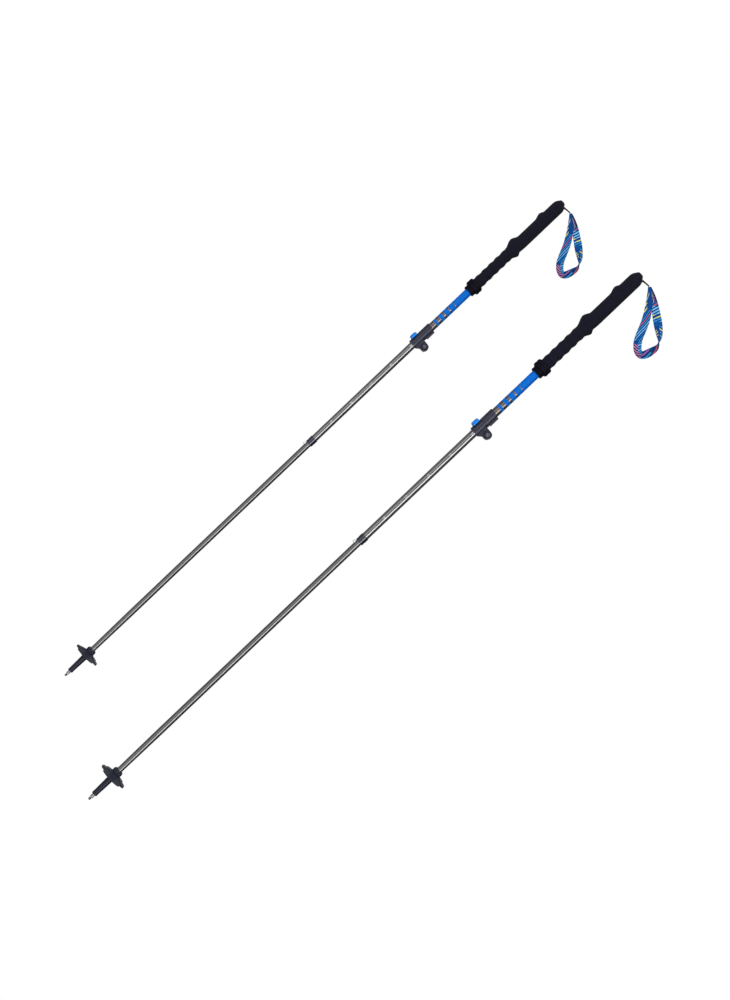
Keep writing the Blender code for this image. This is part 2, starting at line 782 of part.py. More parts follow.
def grip_reach(height):
    """How far the grip reaches at a height: towards -X, towards +X and to either side along Y."""
    wave = WAVE_HEIGHT * math.cos(math.tau * (height - WAVE_CREST) / WAVE_PITCH)
    wave *= ramp(height, WAVE_BOTTOM, WAVE_BOTTOM + 5.0) * (1 - ramp(height, WAVE_TOP, WAVE_TOP + 10.0))
    swell = ramp(height, *SWELL)
    back = GRIP_R + wave + 0.9 * swell + 5.6 * bump(height, *BACK_RIDGE) + 3.4 * bump(height, *HEAD_RIDGE)
    front = GRIP_R + wave + 2.2 * swell + 3.9 * bump(height, *FRONT_RIDGE)
    side = GRIP_R + 0.7 * wave + 2.6 * swell + 1.6 * bump(height, *SIDE_RIDGE)
    head = max(height - DOME_BOTTOM, 0.0)
    back -= 0.034 * head ** 2
    front -= 0.040 * head ** 2
    side -= 0.030 * head ** 2
    return back, front, side


def grip_ring(height):
    back, front, side = grip_reach(height)
    ring = []
    for k in range(GRIP_STEPS):
        angle = math.tau * k / GRIP_STEPS
        across = math.cos(angle)
        reach = front if across > 0 else back
        ring.append((reach * across, side * math.sin(angle), height))
    return ring


def make_grip(name, pole):
    shoulder = POLE_TOP - 1.5
    crown = 0.86
    count = round((shoulder - GRIP_BOTTOM) / GRIP_CELL)
    heights = [GRIP_BOTTOM + (shoulder - GRIP_BOTTOM) * i / count for i in range(count + 1)]
    rings = [grip_ring(height) for height in heights]
    rings.append([(x * crown, y * crown, POLE_TOP) for x, y, _ in rings[-1]])
    piece = finish(skin(rings, closed=False), name, pole, material("grip_foam", (0.01, 0.01, 0.018), 0.9))
    pin_x, pin_z = STRAP_PIN_AT
    bore = rod(GRIP_BORE_R, (0, 0, GRIP_BOTTOM - 5), (0, 0, UPPER_TUBE_TOP + 17), STEPS)
    pocket = block((pin_x - 4.8, -2.3, pin_z - 4.2), (pin_x + 14.0, 2.3, pin_z + 4.5))
    reach = STRAP_PIN_REACH + 0.4
    pin_hole = rod(STRAP_PIN_R + GAP, (pin_x, -reach, pin_z), (pin_x, reach, pin_z))
    boolean(piece, finish(bore, name + "_bore", pole, None), "DIFFERENCE")
    boolean(piece, finish(pocket, name + "_strap_pocket", pole, None), "DIFFERENCE")
    boolean(piece, finish(pin_hole, name + "_pin_hole", pole, None), "DIFFERENCE")


def make_top_plug(name, pole):
    length = 15.7
    bottom = UPPER_TUBE_TOP + GAP
    bm = rod(UPPER_TUBE_R, (0, 0, bottom), (0, 0, bottom + length), STEPS)
    finish(bm, name, pole, material("plug_plastic", (0.05, 0.05, 0.055), 0.5))


def make_strap_pin(name, pole):
    pin_x, pin_z = STRAP_PIN_AT
    bm = rod(STRAP_PIN_R, (pin_x, -STRAP_PIN_REACH, pin_z), (pin_x, STRAP_PIN_REACH, pin_z))
    finish(bm, name, pole, material("pin_steel", (0.55, 0.55, 0.57), 0.3, 1.0))


def make_strap_cord(name, pole):
    """A loop of thin cord around the pin in the grip's head that carries the strap."""
    pin_x, pin_z = STRAP_PIN_AT
    end_x, end_z = STRAP_TOP[0] - 1.6, STRAP_TOP[1]
    cord_r = 0.8
    turn_r = 2.5
    exit_x = 12.5
    points = [
        (end_x, -1.0, end_z),
        (exit_x, -1.0, pin_z + 3.2),
        (pin_x + 0.6, -1.0, pin_z + turn_r),
        (pin_x - turn_r, -0.4, pin_z + 0.3),
        (pin_x, 0.5, pin_z - turn_r),
        (pin_x + 3.4, 1.0, pin_z - 1.0),
        (exit_x, 1.0, pin_z + 2.6),
        (end_x, 1.0, end_z),
        (end_x + 0.7, 0.0, end_z + 0.05),
    ]
    path = smooth_path(points, 3, closed=True)
    bm = cord(path, [cord_r] * len(path), closed=True, steps=6)
    paint = material("strap_cord_black", (0.012, 0.012, 0.014), 0.7)
    finish(bm, name, pole, paint, pivot=(pin_x, 0.0, pin_z))


def strap_point(across, down):
    """A point on the hanging strap: across and down are measured from its gathered top."""
    hang_x, hang_z = STRAP_HANG
    return (
        STRAP_TOP[0] + across * -hang_z + down * hang_x,
        STRAP_TOP[1] + across * hang_x + down * hang_z,
    )


def make_strap(name, pole):
    """A flat webbing loop. Each station is (across, down, depth, half width, twist)."""
    stations = [
        (1.5, 1.0, 0.9, 2.2, 0.0),
        (5.2, 14.0, 1.8, 4.8, 0.0),
        (9.4, 29.0, 2.2, 6.0, 0.0),
        (12.7, 47.0, 2.2, 7.0, 4.0),
        (15.0, 61.0, 2.1, 7.6, 10.0),
        (16.9, 76.6, 1.8, 7.6, 30.0),
        (16.8, 86.5, 1.2, 7.6, 55.0),
        (15.2, 94.5, 0.6, 7.4, 88.0),
        (10.0, 102.0, 0.0, 7.2, 128.0),
        (1.0, 108.6, -0.3, 6.9, 158.0),
        (-8.0, 112.8, -0.6, 6.6, 178.0),
        (-14.8, 112.4, -0.9, 6.3, 206.0),
        (-18.8, 105.5, -1.4, 6.5, 200.0),
        (-19.2, 95.3, -1.9, 6.8, 186.0),
        (-17.0, 85.0, -2.3, 6.9, 180.0),
        (-12.6, 74.0, -2.6, 6.9, 180.0),
        (-6.3, 57.8, -2.7, 6.8, 180.0),
        (-1.8, 39.0, -2.6, 6.2, 180.0),
        (0.2, 22.0, -2.2, 4.9, 180.0),
        (0.6, 10.0, -1.6, 3.4, 180.0),
        (0.4, 1.0, -1.1, 2.2, 180.0),
    ]
    path = smooth_path(stations, 2)
    last = len(path) - 1
    rings = []
    for i, (across, down, depth, half, twist) in enumerate(path):
        ahead, behind = path[min(i + 1, last)], path[max(i - 1, 0)]
        travel = Vector((ahead[0] - behind[0], 0.0, behind[1] - ahead[1])).normalized()
        flat = Vector((-travel.z, 0.0, travel.x))
        turn = math.radians(twist)
        wide = flat * math.cos(turn) + Vector((0.0, 1.0, 0.0)) * math.sin(turn)
        thick = travel.cross(wide).normalized()
        ring = []
        for side, face in ((-1, -1), (1, -1), (1, 1), (-1, 1)):
            offset = wide * half * side + thick * STRAP_THICK / 2 * face
            x, z = strap_point(across + offset.x, down - offset.z)
            ring.append((x, depth + offset.y, z))
        rings.append(ring)
    pin_x, pin_z = STRAP_PIN_AT
    paint = material("strap_webbing", (0.01, 0.09, 0.35), 0.8)
    finish(skin(rings, closed=False), name, pole, paint, pivot=(pin_x, 0.0, pin_z))


MAKERS = {
    "carbide_tip": make_carbide_tip,
    "tip_ferrule": make_tip_ferrule,
    "tip_sleeve": make_tip_sleeve,
    "basket": make_basket,
    "basket_nut": make_basket_nut,
    "tip_tube": make_tip_tube,
    "fold_ferrule": make_fold_ferrule,
    "centre_tube": make_centre_tube,
    "cord_stopper": make_cord_stopper,
    "cord_anchor": make_cord_anchor,
    "tension_cord": make_tension_cord,
    "snap_button": make_snap_button,
    "button_spring": make_button_spring,
    "graduated_tube": make_graduated_tube,
    "guide_bush": make_guide_bush,
    "joint_ring": make_joint_ring,
    "upper_tube": make_upper_tube,
    "clamp_body": make_clamp_body,
    "clamp_lever": make_clamp_lever,
    "lever_tab": make_lever_tab,
    "lever_pin": make_lever_pin,
    "adjuster_knob": make_adjuster_knob,
    "clamp_screw": make_clamp_screw,
    "grip_collar": make_grip_collar,
    "grip": make_grip,
    "top_plug": make_top_plug,
    "strap_pin": make_strap_pin,
    "strap_cord": make_strap_cord,
    "strap": make_strap,
}


def make_pole(side, place):
    pole = bpy.data.objects.new(side + "_pole", None)
    bpy.context.scene.collection.objects.link(pole)
    pole.location = place * MM
    for name, make in MAKERS.items():
        make(f"{side}_{name}", pole)


clear_scene()
make_pole("right", Vector((0.0, 0.0, 0.0)))
make_pole("left", LEFT_POLE_AT)
bpy.context.view_layer.update()
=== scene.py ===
"""Looks for a pair of folding trekking poles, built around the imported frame.

Lengths are millimetres above a pole's point, as in the frame's boxes, and become metres in each mesh.
A piece's object sits on its pole's point, so its object coordinates are the pole's own coordinates.
"""

from math import atan2, copysign, cos, degrees, exp, hypot, pi, radians, sin, tau

import bmesh
import bpy
from mathutils import Matrix, Vector


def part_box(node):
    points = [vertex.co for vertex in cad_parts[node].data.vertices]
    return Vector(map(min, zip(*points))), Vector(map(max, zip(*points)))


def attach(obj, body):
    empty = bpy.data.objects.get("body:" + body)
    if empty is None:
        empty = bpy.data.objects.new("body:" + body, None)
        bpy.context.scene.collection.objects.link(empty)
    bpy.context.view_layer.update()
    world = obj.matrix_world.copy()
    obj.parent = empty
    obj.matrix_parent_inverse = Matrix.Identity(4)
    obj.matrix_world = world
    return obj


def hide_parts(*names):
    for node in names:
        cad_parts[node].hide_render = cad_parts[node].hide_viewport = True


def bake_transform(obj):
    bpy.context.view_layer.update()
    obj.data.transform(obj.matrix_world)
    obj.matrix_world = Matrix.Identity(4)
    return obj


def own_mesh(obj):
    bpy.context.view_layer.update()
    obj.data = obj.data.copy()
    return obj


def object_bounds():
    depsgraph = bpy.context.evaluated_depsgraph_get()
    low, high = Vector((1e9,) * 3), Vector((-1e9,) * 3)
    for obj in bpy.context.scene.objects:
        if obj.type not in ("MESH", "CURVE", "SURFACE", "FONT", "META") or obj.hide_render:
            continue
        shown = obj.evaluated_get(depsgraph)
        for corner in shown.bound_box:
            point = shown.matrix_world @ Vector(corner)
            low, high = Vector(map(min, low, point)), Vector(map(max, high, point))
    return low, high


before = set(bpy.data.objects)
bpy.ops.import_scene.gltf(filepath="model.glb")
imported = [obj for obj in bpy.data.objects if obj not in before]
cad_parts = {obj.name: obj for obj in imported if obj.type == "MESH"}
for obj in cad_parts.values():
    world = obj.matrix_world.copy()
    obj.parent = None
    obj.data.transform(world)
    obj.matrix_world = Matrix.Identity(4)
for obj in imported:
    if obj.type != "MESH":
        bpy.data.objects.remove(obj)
cad_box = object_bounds()

MM = 0.001
ROUND = 64
SMALL_ROUND = 32
SHARP_ANGLE = radians(32)

# Play between pieces that fit into each other
FIT = 0.15
GAP = 0.3

PETALS = 6
PETAL_NOTCH = 0.16
BASKET_BORE_R = 6.5
RIM_ROUND = 0.35

# Materials by name, filled by make_paints
PAINTS = {}

# The camera looks level, and is rolled so that the upright poles rise to the right
CAMERA_DISTANCE = 2.2
CAMERA_AIM = Vector((-0.0436, 0.0, 0.6683))
CAMERA_LENS = 48.15
POLE_RISE = radians(43.56)


# Meshes

def new_object(name, data):
    made = bpy.data.objects.new(name, data)
    bpy.context.scene.collection.objects.link(made)
    return made


class Pole:
    """One pole's side, the place of its point, and its CAD boxes in millimetres above that point."""

    def __init__(self, side):
        self.side = side
        low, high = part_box(side + "_carbide_tip")
        self.at = Vector(((low.x + high.x) / 2, (low.y + high.y) / 2, low.z))

    def box(self, node):
        low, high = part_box(f"{self.side}_{node}")
        return (low - self.at) / MM, (high - self.at) / MM

    def middle(self, node):
        low, high = self.box(node)
        return (low + high) / 2

    def span(self, node):
        """A round piece's bottom, top and outer radius."""
        low, high = self.box(node)
        return low.z, high.z, (high.y - low.y) / 2

    def publish(self, bm, name, paint, body, node=None, sharp=SHARP_ANGLE):
        """Turns a bmesh into a piece that rides on a body and stands for a CAD node."""
        piece = self.place(bm, name, paint, sharp)
        self.enlist(piece, body, node)
        return piece

    def place(self, bm, name, paint=None, sharp=SHARP_ANGLE):
        """Turns a bmesh into an object on this pole's point. A paint's name is also its slot."""
        bmesh.ops.scale(bm, verts=bm.verts[:], vec=(MM, MM, MM))
        bmesh.ops.recalc_face_normals(bm, faces=bm.faces[:])
        mesh = bpy.data.meshes.new(name)
        bm.to_mesh(mesh)
        bm.free()
        mesh.shade_smooth()
        mesh.set_sharp_from_angle(angle=sharp)
        piece = new_object(f"{self.side}_{name}", mesh)
        piece.location = self.at
        if paint:
            mesh.materials.append(PAINTS[paint])
        return piece

    def enlist(self, piece, body, node=None):
        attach(piece, f"{self.side}_{body}")
        if node:
            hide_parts(f"{self.side}_{node}")

    def carve(self, piece, joins=(), cuts=()):
        """Joins and cuts a piece with bmeshes, and keeps the result as its mesh."""
        tools = []
        for operation, shapes in (("UNION", joins), ("DIFFERENCE", cuts)):
            for shape in shapes:
                tool = self.place(shape, "tool")
                step = piece.modifiers.new("carve", "BOOLEAN")
                step.operation = operation
                step.object = tool
                tools.append(tool)
        bpy.context.view_layer.update()
        shaped = piece.evaluated_get(bpy.context.evaluated_depsgraph_get())
        mesh = bpy.data.meshes.new_from_object(shaped)
        piece.modifiers.clear()
        piece.data = mesh
        for tool in tools:
            bpy.data.objects.remove(tool)
        mesh.shade_smooth()
        mesh.set_sharp_from_angle(angle=SHARP_ANGLE)


def filleted(profile, closed):
    """Rounds each corner that carries a third number, the fillet's reach along both sides."""
    points = []
    count = len(profile)
    for i, corner in enumerate(profile):
        here = Vector(corner[:2])
        if len(corner) < 3 or (not closed and i in (0, count - 1)):
            points.append(here)
            continue
        ends = []
        for other in (profile[i - 1], profile[(i + 1) % count]):
            away = Vector(other[:2]) - here
            ends.append(here + away.normalized() * min(corner[2], 0.45 * away.length))
        for t in (0.0, 0.25, 0.5, 0.75, 1.0):
            points.append(ends[0] * (1 - t) ** 2 + here * 2 * t * (1 - t) + ends[1] * t * t)
    return points


def lathe(profile, closed=True, steps=ROUND):
    """Spins (radius, height[, fillet]) corners about the shaft. An open profile ends on the axis."""
    bm = bmesh.new()
    corners = [bm.verts.new((p.x, 0.0, p.y)) for p in filleted(profile, closed)]
    pairs = list(zip(corners, corners[1:]))
    if closed:
        pairs.append((corners[-1], corners[0]))
    edges = [bm.edges.new(pair) for pair in pairs]
    bmesh.ops.spin(
        bm,
        geom=corners + edges,
        axis=(0, 0, 1),
        cent=(0, 0, 0),
        angle=tau,
        steps=steps,
        use_duplicate=False,
    )
    bmesh.ops.remove_doubles(bm, verts=bm.verts[:], dist=0.0005)
    return bm


def block(low, high):
    low, high = Vector(low), Vector(high)
    bm = bmesh.new()
    place = Matrix.Translation((low + high) / 2) @ Matrix.Diagonal((*(high - low), 1.0))
    bmesh.ops.create_cube(bm, size=1.0, matrix=place)
    return bm


def rod(radius, start, end, steps=SMALL_ROUND):
    start, end = Vector(start), Vector(end)
    along = end - start
    turn = along.to_track_quat("Z", "Y").to_matrix().to_4x4()
    bm = bmesh.new()
    bmesh.ops.create_cone(
        bm,
        cap_ends=True,
        segments=steps,
        radius1=radius,
        radius2=radius,
        depth=along.length,
        matrix=Matrix.Translation((start + end) / 2) @ turn,
    )
    return bm


def slab(outline, start, end, normal="Z"):
    """Extrudes an outline of (x, y) points along Z, or of (x, z) points along Y."""
    bm = bmesh.new()
    if normal == "Z":
        corners = [bm.verts.new((a, b, start)) for a, b in outline]
        travel = (0.0, 0.0, end - start)
    else:
        corners = [bm.verts.new((a, start, b)) for a, b in outline]
        travel = (0.0, end - start, 0.0)
    face = bm.faces.new(corners)
    made = bmesh.ops.extrude_face_region(bm, geom=[face])["geom"]
    moved = [g for g in made if isinstance(g, bmesh.types.BMVert)]
    bmesh.ops.translate(bm, verts=moved, vec=travel)
    return bm


def arc(centre, radius, start_deg, end_deg, count):
    points = []
    for i in range(count + 1):
        angle = radians(start_deg + (end_deg - start_deg) * i / count)
        points.append((centre[0] + radius * cos(angle), centre[1] + radius * sin(angle)))
    return points


def smooth_path(points, cuts, closed=False):
    """Catmull-Rom points through the given ones. Each point is a tuple of any length."""
    count = len(points)
    path = []
    for i in range(count if closed else count - 1):
        if closed:
            around = [points[(i + k) % count] for k in (-1, 0, 1, 2)]
        else:
            around = [points[min(max(i + k, 0), count - 1)] for k in (-1, 0, 1, 2)]
        for step in range(cuts):
            t = step / cuts
            path.append(tuple(
                0.5 * (2 * b + (c - a) * t + (2 * a - 5 * b + 4 * c - d) * t * t
                       + (3 * b - a - 3 * c + d) * t ** 3)
                for a, b, c, d in zip(*around)
            ))
    if not closed:
        path.append(tuple(points[-1]))
    return path


def skin(rings, closed, lengths=None, widths=None):
    """Joins rings of corners. With lengths and widths, the faces also carry a map in millimetres."""
    bm = bmesh.new()
    loops = [[bm.verts.new(corner) for corner in ring] for ring in rings]
    chart = bm.loops.layers.uv.new("Map") if lengths else None
    pairs = list(zip(range(len(loops)), range(1, len(loops))))
    if closed:
        pairs.append((len(loops) - 1, 0))
    for low, high in pairs:
        for i in range(len(loops[low])):
            j = (i + 1) % len(loops[low])
            face = bm.faces.new((loops[low][i], loops[low][j], loops[high][j], loops[high][i]))
            if chart:
                ends = (lengths[low], lengths[low], lengths[low + 1], lengths[low + 1])
                sides = (widths[i], widths[i + 1], widths[i + 1], widths[i])
                for corner, across, along in zip(face.loops, sides, ends):
                    corner[chart].uv = (across * MM, along * MM)
    if not closed:
        bm.faces.new(loops[0])
        bm.faces.new(loops[-1])
    return bm


def travelled(path):
    """Distance along a path at each of its points."""
    lengths = [0.0]
    for before, here in zip(path, path[1:]):
        lengths.append(lengths[-1] + (Vector(here) - Vector(before)).length)
    return lengths


def cord(path, radii, closed=False):
    """A round cord along (x, y, z) points, with a map that runs along and around it."""
    steps = 12
    rings = []
    count = len(path)
    side = None
    for i, point in enumerate(path):
        if closed:
            ahead, behind = path[(i + 1) % count], path[i - 1]
        else:
            ahead, behind = path[min(i + 1, count - 1)], path[max(i - 1, 0)]
        along = (Vector(ahead) - Vector(behind)).normalized()
        if side is None:
            side = along.orthogonal().normalized()
        side = (side - along * side.dot(along)).normalized()
        other = along.cross(side)
        turns = [tau * k / steps for k in range(steps)]
        rings.append([Vector(point) + radii[i] * (cos(a) * side + sin(a) * other) for a in turns])
    lengths = travelled(list(path) + [path[0]])
    around = [tau * max(radii) * k / steps for k in range(steps + 1)]
    return skin(rings, closed, lengths, around)


def ramp(value, start, end):
    """0 before start, 1 after end, and a smooth rise between them."""
    t = min(max((value - start) / (end - start), 0.0), 1.0)
    return t * t * (3 - 2 * t)


def ridge(value, start, peak, end):
    """A ridge that rises from start to peak and falls to end."""
    if value <= peak:
        return ramp(value, start, peak)
    return 1.0 - ramp(value, peak, end)


def wave(angle, count):
    """0 at angle 0, rising to 1 and back count times in a turn."""
    return 0.5 - 0.5 * cos(count * angle)


def flute(bm, beyond, depth, count):
    """Presses grooves into a lathe wherever it reaches beyond a radius."""
    for corner in bm.verts:
        reach = hypot(corner.co.x, corner.co.y)
        if reach > beyond:
            scale = 1 - depth / reach * wave(atan2(corner.co.y, corner.co.x), count) ** 2
            corner.co.x *= scale
            corner.co.y *= scale


def eased(bm, width, segments=3):
    """Rounds a bmesh's sharp edges before it is joined to others."""
    limit = radians(50)
    sharp = [e for e in bm.edges if len(e.link_faces) == 2 and e.calc_face_angle() > limit]
    bmesh.ops.bevel(bm, geom=sharp, offset=width, segments=segments, profile=0.5, affect="EDGES")
    return bm


def soften(piece, width, angle):
    """Rounds the piece's sharp edges."""
    edge = piece.modifiers.new("soft_edges", "BEVEL")
    edge.width = width * MM
    edge.segments = 2
    edge.limit_method = "ANGLE"
    edge.angle_limit = radians(angle)
    edge.harden_normals = True


# Materials

def feed(tree, socket, value):
    if isinstance(value, bpy.types.NodeSocket):
        tree.links.new(value, socket)
    else:
        socket.default_value = value


def node(tree, kind, inputs=None, **settings):
    """Adds a shader node with its inputs, each a value or a socket, and its settings."""
    made = tree.nodes.new("ShaderNode" + kind)
    for key, value in settings.items():
        setattr(made, key, value)
    for key, value in (inputs or {}).items():
        feed(tree, made.inputs[key], value)
    return made


def maths(tree, operation, *values):
    made = node(tree, "Math", operation=operation)
    for i, value in enumerate(values):
        feed(tree, made.inputs[i], value)
    return made.outputs[0]


def mixed(tree, factor, first, second):
    made = node(tree, "Mix", data_type="RGBA")
    feed(tree, made.inputs[0], factor)
    for slot, value in ((6, first), (7, second)):
        feed(tree, made.inputs[slot], (*value, 1.0) if isinstance(value, tuple) else value)
    return made.outputs[2]


def gradient(tree, factor, stops, steps=False):
    """A colour ramp through (place, colour) stops."""
    made = node(tree, "ValToRGB", {"Fac": factor})
    made.color_ramp.interpolation = "CONSTANT" if steps else "LINEAR"
    marks = made.color_ramp.elements
    while len(marks) < len(stops):
        marks.new(0.5)
    for mark, (place, colour) in zip(marks, stops):
        mark.position = place
        mark.color = (*colour, 1.0)
    return made.outputs["Color"]


def noise(tree, scale, detail=3.0, stretch=(1.0, 1.0, 1.0)):
    """Noise in the pole's own coordinates, scale features to a metre."""
    place = node(tree, "TexCoord").outputs["Object"]
    place = node(tree, "Mapping", {"Vector": place, "Scale": stretch}).outputs[0]
    made = node(tree, "TexNoise", {"Vector": place, "Scale": scale, "Detail": detail})
    return made.outputs[0]


def raised(tree, height, depth):
    """A bump normal. Depth is the height of a full step in metres."""
    return node(tree, "Bump", {"Height": height, "Distance": depth}).outputs[0]


def dress(paint, **inputs):
    """Feeds values or sockets to a paint's shader. Input names are written with _ for a space."""
    tree = paint.node_tree
    for key, value in inputs.items():
        feed(tree, tree.nodes["Principled BSDF"].inputs[key.replace("_", " ")], value)
    return paint


def new_paint(name, **inputs):
    """A principled material and its node tree."""
    paint = bpy.data.materials.new(name)
    paint.use_nodes = True
    return dress(paint, **inputs), paint.node_tree


def shade(colour, factor):
    return tuple(c * factor for c in colour)


def worn(tree, colour):
    """The colour, a little uneven, and lighter where edges are rubbed."""
    amount = 0.5
    patchy = mixed(tree, noise(tree, 220.0), shade(colour, 0.85), shade(colour, 1.15))
    softened = node(tree, "Bevel", {"Radius": 0.35 * MM}, samples=4).outputs[0]
    facing = node(tree, "NewGeometry").outputs["Normal"]
    straight = node(tree, "VectorMath", {0: softened, 1: facing}, operation="DOT_PRODUCT")
    rubbed = gradient(tree, straight.outputs["Value"], [(0.8, (amount,) * 3), (0.97, (0, 0, 0))])
    scuff = maths(tree, "MULTIPLY", rubbed, noise(tree, 900.0))
    pale = tuple(min(1.0, c * 2.0 + 0.015) for c in colour)
    return mixed(tree, scuff, patchy, pale)


def moulded(name, colour, roughness, shine=0.4, grain=0.0000015):
    """Moulded plastic or rubber with a spark-eroded grain."""
    paint, tree = new_paint(name, Specular_IOR_Level=shine)
    uneven = maths(tree, "MULTIPLY_ADD", noise(tree, 400.0), 0.16, roughness - 0.08)
    bumps = raised(tree, noise(tree, 4200.0, 2.0), grain)
    return dress(paint, Base_Color=worn(tree, colour), Roughness=uneven, Normal=bumps)


def lacquered(name, colour):
    """Moulded plastic under a clear, glossy coat."""
    paint = moulded(name, colour, 0.2, 0.8, 0.0)
    return dress(paint, Coat_Weight=1.0, Coat_IOR=2.0, Coat_Roughness=0.09)


def machined(name, colour, roughness):
    """Turned or drawn metal with fine lines around the axis."""
    paint, tree = new_paint(name, Metallic=1.0)
    lines = noise(tree, 900.0, 2.0, (0.4, 0.4, 9.0))
    base = mixed(tree, lines, shade(colour, 0.85), shade(colour, 1.1))
    rough = maths(tree, "MULTIPLY_ADD", lines, 0.14, roughness - 0.07)
    return dress(paint, Base_Color=base, Roughness=rough, Normal=raised(tree, lines, 0.0000008))


def button_paint(name):
    """Bright satin-nickel finish."""
    paint, tree = new_paint(name, Metallic=0.25, Specular_IOR_Level=0.8)
    cloud = noise(tree, 700.0, 2.0)
    base = mixed(tree, cloud, (0.8, 0.8, 0.82), (0.9, 0.9, 0.9))
    return dress(paint, Base_Color=base, Roughness=maths(tree, "MULTIPLY_ADD", cloud, 0.12, 0.2))


def graphite_nodes(paint, colour):
    """Dresses a paint as graphite anodising over a drawn tube, faintly lined and clouded.

    Returns the colour, which is fed by the caller.
    """
    tree = paint.node_tree
    drawn = noise(tree, 2600.0, 3.0, (1.0, 1.0, 0.012))
    cloud = noise(tree, 60.0, 2.0, (1.0, 1.0, 0.3))
    base = mixed(tree, drawn, shade(colour, 0.86), shade(colour, 1.14))
    rough = maths(tree, "MULTIPLY_ADD", drawn, 0.1, 0.17)
    dress(paint, Roughness=rough, Normal=raised(tree, drawn, 0.0000002))
    return mixed(tree, maths(tree, "MULTIPLY", cloud, 0.35), base, shade(colour, 0.75))


def graphite_paint(name, colour):
    paint, _ = new_paint(name, Metallic=0.95, Specular_IOR_Level=0.5)
    return dress(paint, Base_Color=graphite_nodes(paint, colour))


def blue_tube_paint(name, first_band):
    """Blue anodising broken by bare graphite bands, each shorter than the one below."""
    blue = (0.0, 0.12, 0.52)
    pitch, longest, step, count = 14.35, 9.4, 2.0, 5
    paint, tree = new_paint(name, Specular_IOR_Level=0.12)
    place = node(tree, "TexCoord").outputs["Object"]
    height = node(tree, "SeparateXYZ", {"Vector": place}).outputs["Z"]
    climbed = maths(tree, "DIVIDE", maths(tree, "SUBTRACT", height, first_band * MM), pitch * MM)
    number = maths(tree, "FLOOR", climbed)
    within = maths(tree, "MULTIPLY", maths(tree, "FRACT", climbed), pitch)
    length = maths(tree, "SUBTRACT", longest, maths(tree, "MULTIPLY", number, step))
    band = maths(tree, "LESS_THAN", within, length)
    band = maths(tree, "MULTIPLY", band, maths(tree, "LESS_THAN", number, count - 0.5))
    band = maths(tree, "MAXIMUM", band, maths(tree, "LESS_THAN", climbed, 0.0))
    graphite = graphite_nodes(paint, (0.36, 0.325, 0.32))
    speck = noise(tree, 1500.0, 2.0)
    paint_blue = mixed(tree, speck, shade(blue, 0.93), shade(blue, 1.07))
    rough = maths(tree, "SUBTRACT", 0.42, maths(tree, "MULTIPLY", band, 0.14))
    metal = maths(tree, "MULTIPLY", band, 0.95)
    return dress(paint, Base_Color=mixed(tree, band, paint_blue, graphite), Metallic=metal, Roughness=rough)


def foam_paint(name):
    """Closed-cell foam: matt, with fine open cells over a slightly mottled navy black; the cells' pits are
    dented and painted darker as painted shade.
    """
    paint, tree = new_paint(name, Roughness=0.93, Specular_IOR_Level=0.12)
    colour = (0.0065, 0.0065, 0.014)
    mottled = mixed(tree, noise(tree, 160.0, 4.0), shade(colour, 0.7), shade(colour, 1.35))
    place = node(tree, "TexCoord").outputs["Object"]
    cells = node(tree, "TexVoronoi", {"Vector": place, "Scale": 1500.0}).outputs["Distance"]
    pore_dents_and_shade = gradient(tree, cells, [(0.05, (0, 0, 0)), (0.35, (1, 1, 1))])
    # painted shade: the pits of the cells are darkened to under half the foam's colour
    dress(paint, Base_Color=mixed(tree, pore_dents_and_shade, shade(colour, 0.45), mottled))
    return dress(paint, Normal=raised(tree, pore_dents_and_shade, 0.000006), Sheen_Weight=0.03, Sheen_Roughness=0.6)


def braid_paint(name, colour, pitch):
    """Braided cord: strands cross in two directions along the cord's map."""
    paint, tree = new_paint(name, Roughness=0.8, Specular_IOR_Level=0.25)
    chart = node(tree, "SeparateXYZ", {"Vector": node(tree, "UVMap").outputs[0]})
    weaves = []
    for lean in (1.0, -1.0):
        slant = maths(tree, "MULTIPLY_ADD", chart.outputs["X"], lean, chart.outputs["Y"])
        weaves.append(maths(tree, "SINE", maths(tree, "MULTIPLY", slant, tau / (pitch * MM))))
    strands = maths(tree, "MAXIMUM", *weaves)
    # Painted shade: the cord is painted lighter on the strands' crests and darker in the hollows between
    # them, from half to 1.3 times its colour
    painted_weave_shade = maths(tree, "MULTIPLY_ADD", strands, 0.5, 0.5)
    base = mixed(tree, painted_weave_shade, shade(colour, 0.5), shade(colour, 1.3))
    return dress(paint, Base_Color=base, Normal=raised(tree, strands, 0.00004))


def stripe_block(tree, chart, block, base):
    """Stripes on one patch of the strap. Returns (mask, colour).

    A block is ((start, end), (left, right), pitch, share of the pitch that is dyed, (along, across),
    colours). The patch runs from start to end along the strap and from left to right across it. Its
    stripes lie square to the direction (along, across) on the flat strap.
    """
    (start, end), (left, right), pitch, duty, (along, across), colours = block
    inside = maths(tree, "MULTIPLY",
                   maths(tree, "GREATER_THAN", chart["along"], start * MM),
                   maths(tree, "LESS_THAN", chart["along"], end * MM))
    for operation, edge in (("GREATER_THAN", left), ("LESS_THAN", right)):
        inside = maths(tree, "MULTIPLY", inside, maths(tree, operation, chart["across"], edge * MM))
    slant = maths(tree, "ADD",
                  maths(tree, "MULTIPLY", chart["along"], along),
                  maths(tree, "MULTIPLY", chart["across"], across))
    turn = maths(tree, "DIVIDE", slant, pitch * MM)
    order = maths(tree, "FLOOR", turn)
    share = 1.0 / len(colours)
    pick = maths(tree, "FRACT", maths(tree, "MULTIPLY_ADD", order, share, 0.5 * share))
    shown = maths(tree, "LESS_THAN", maths(tree, "FRACT", turn), duty)
    stops = [(share * i, colour) for i, colour in enumerate(colours)]
    dyed = gradient(tree, pick, stops, steps=True)
    return inside, mixed(tree, shown, base, dyed)


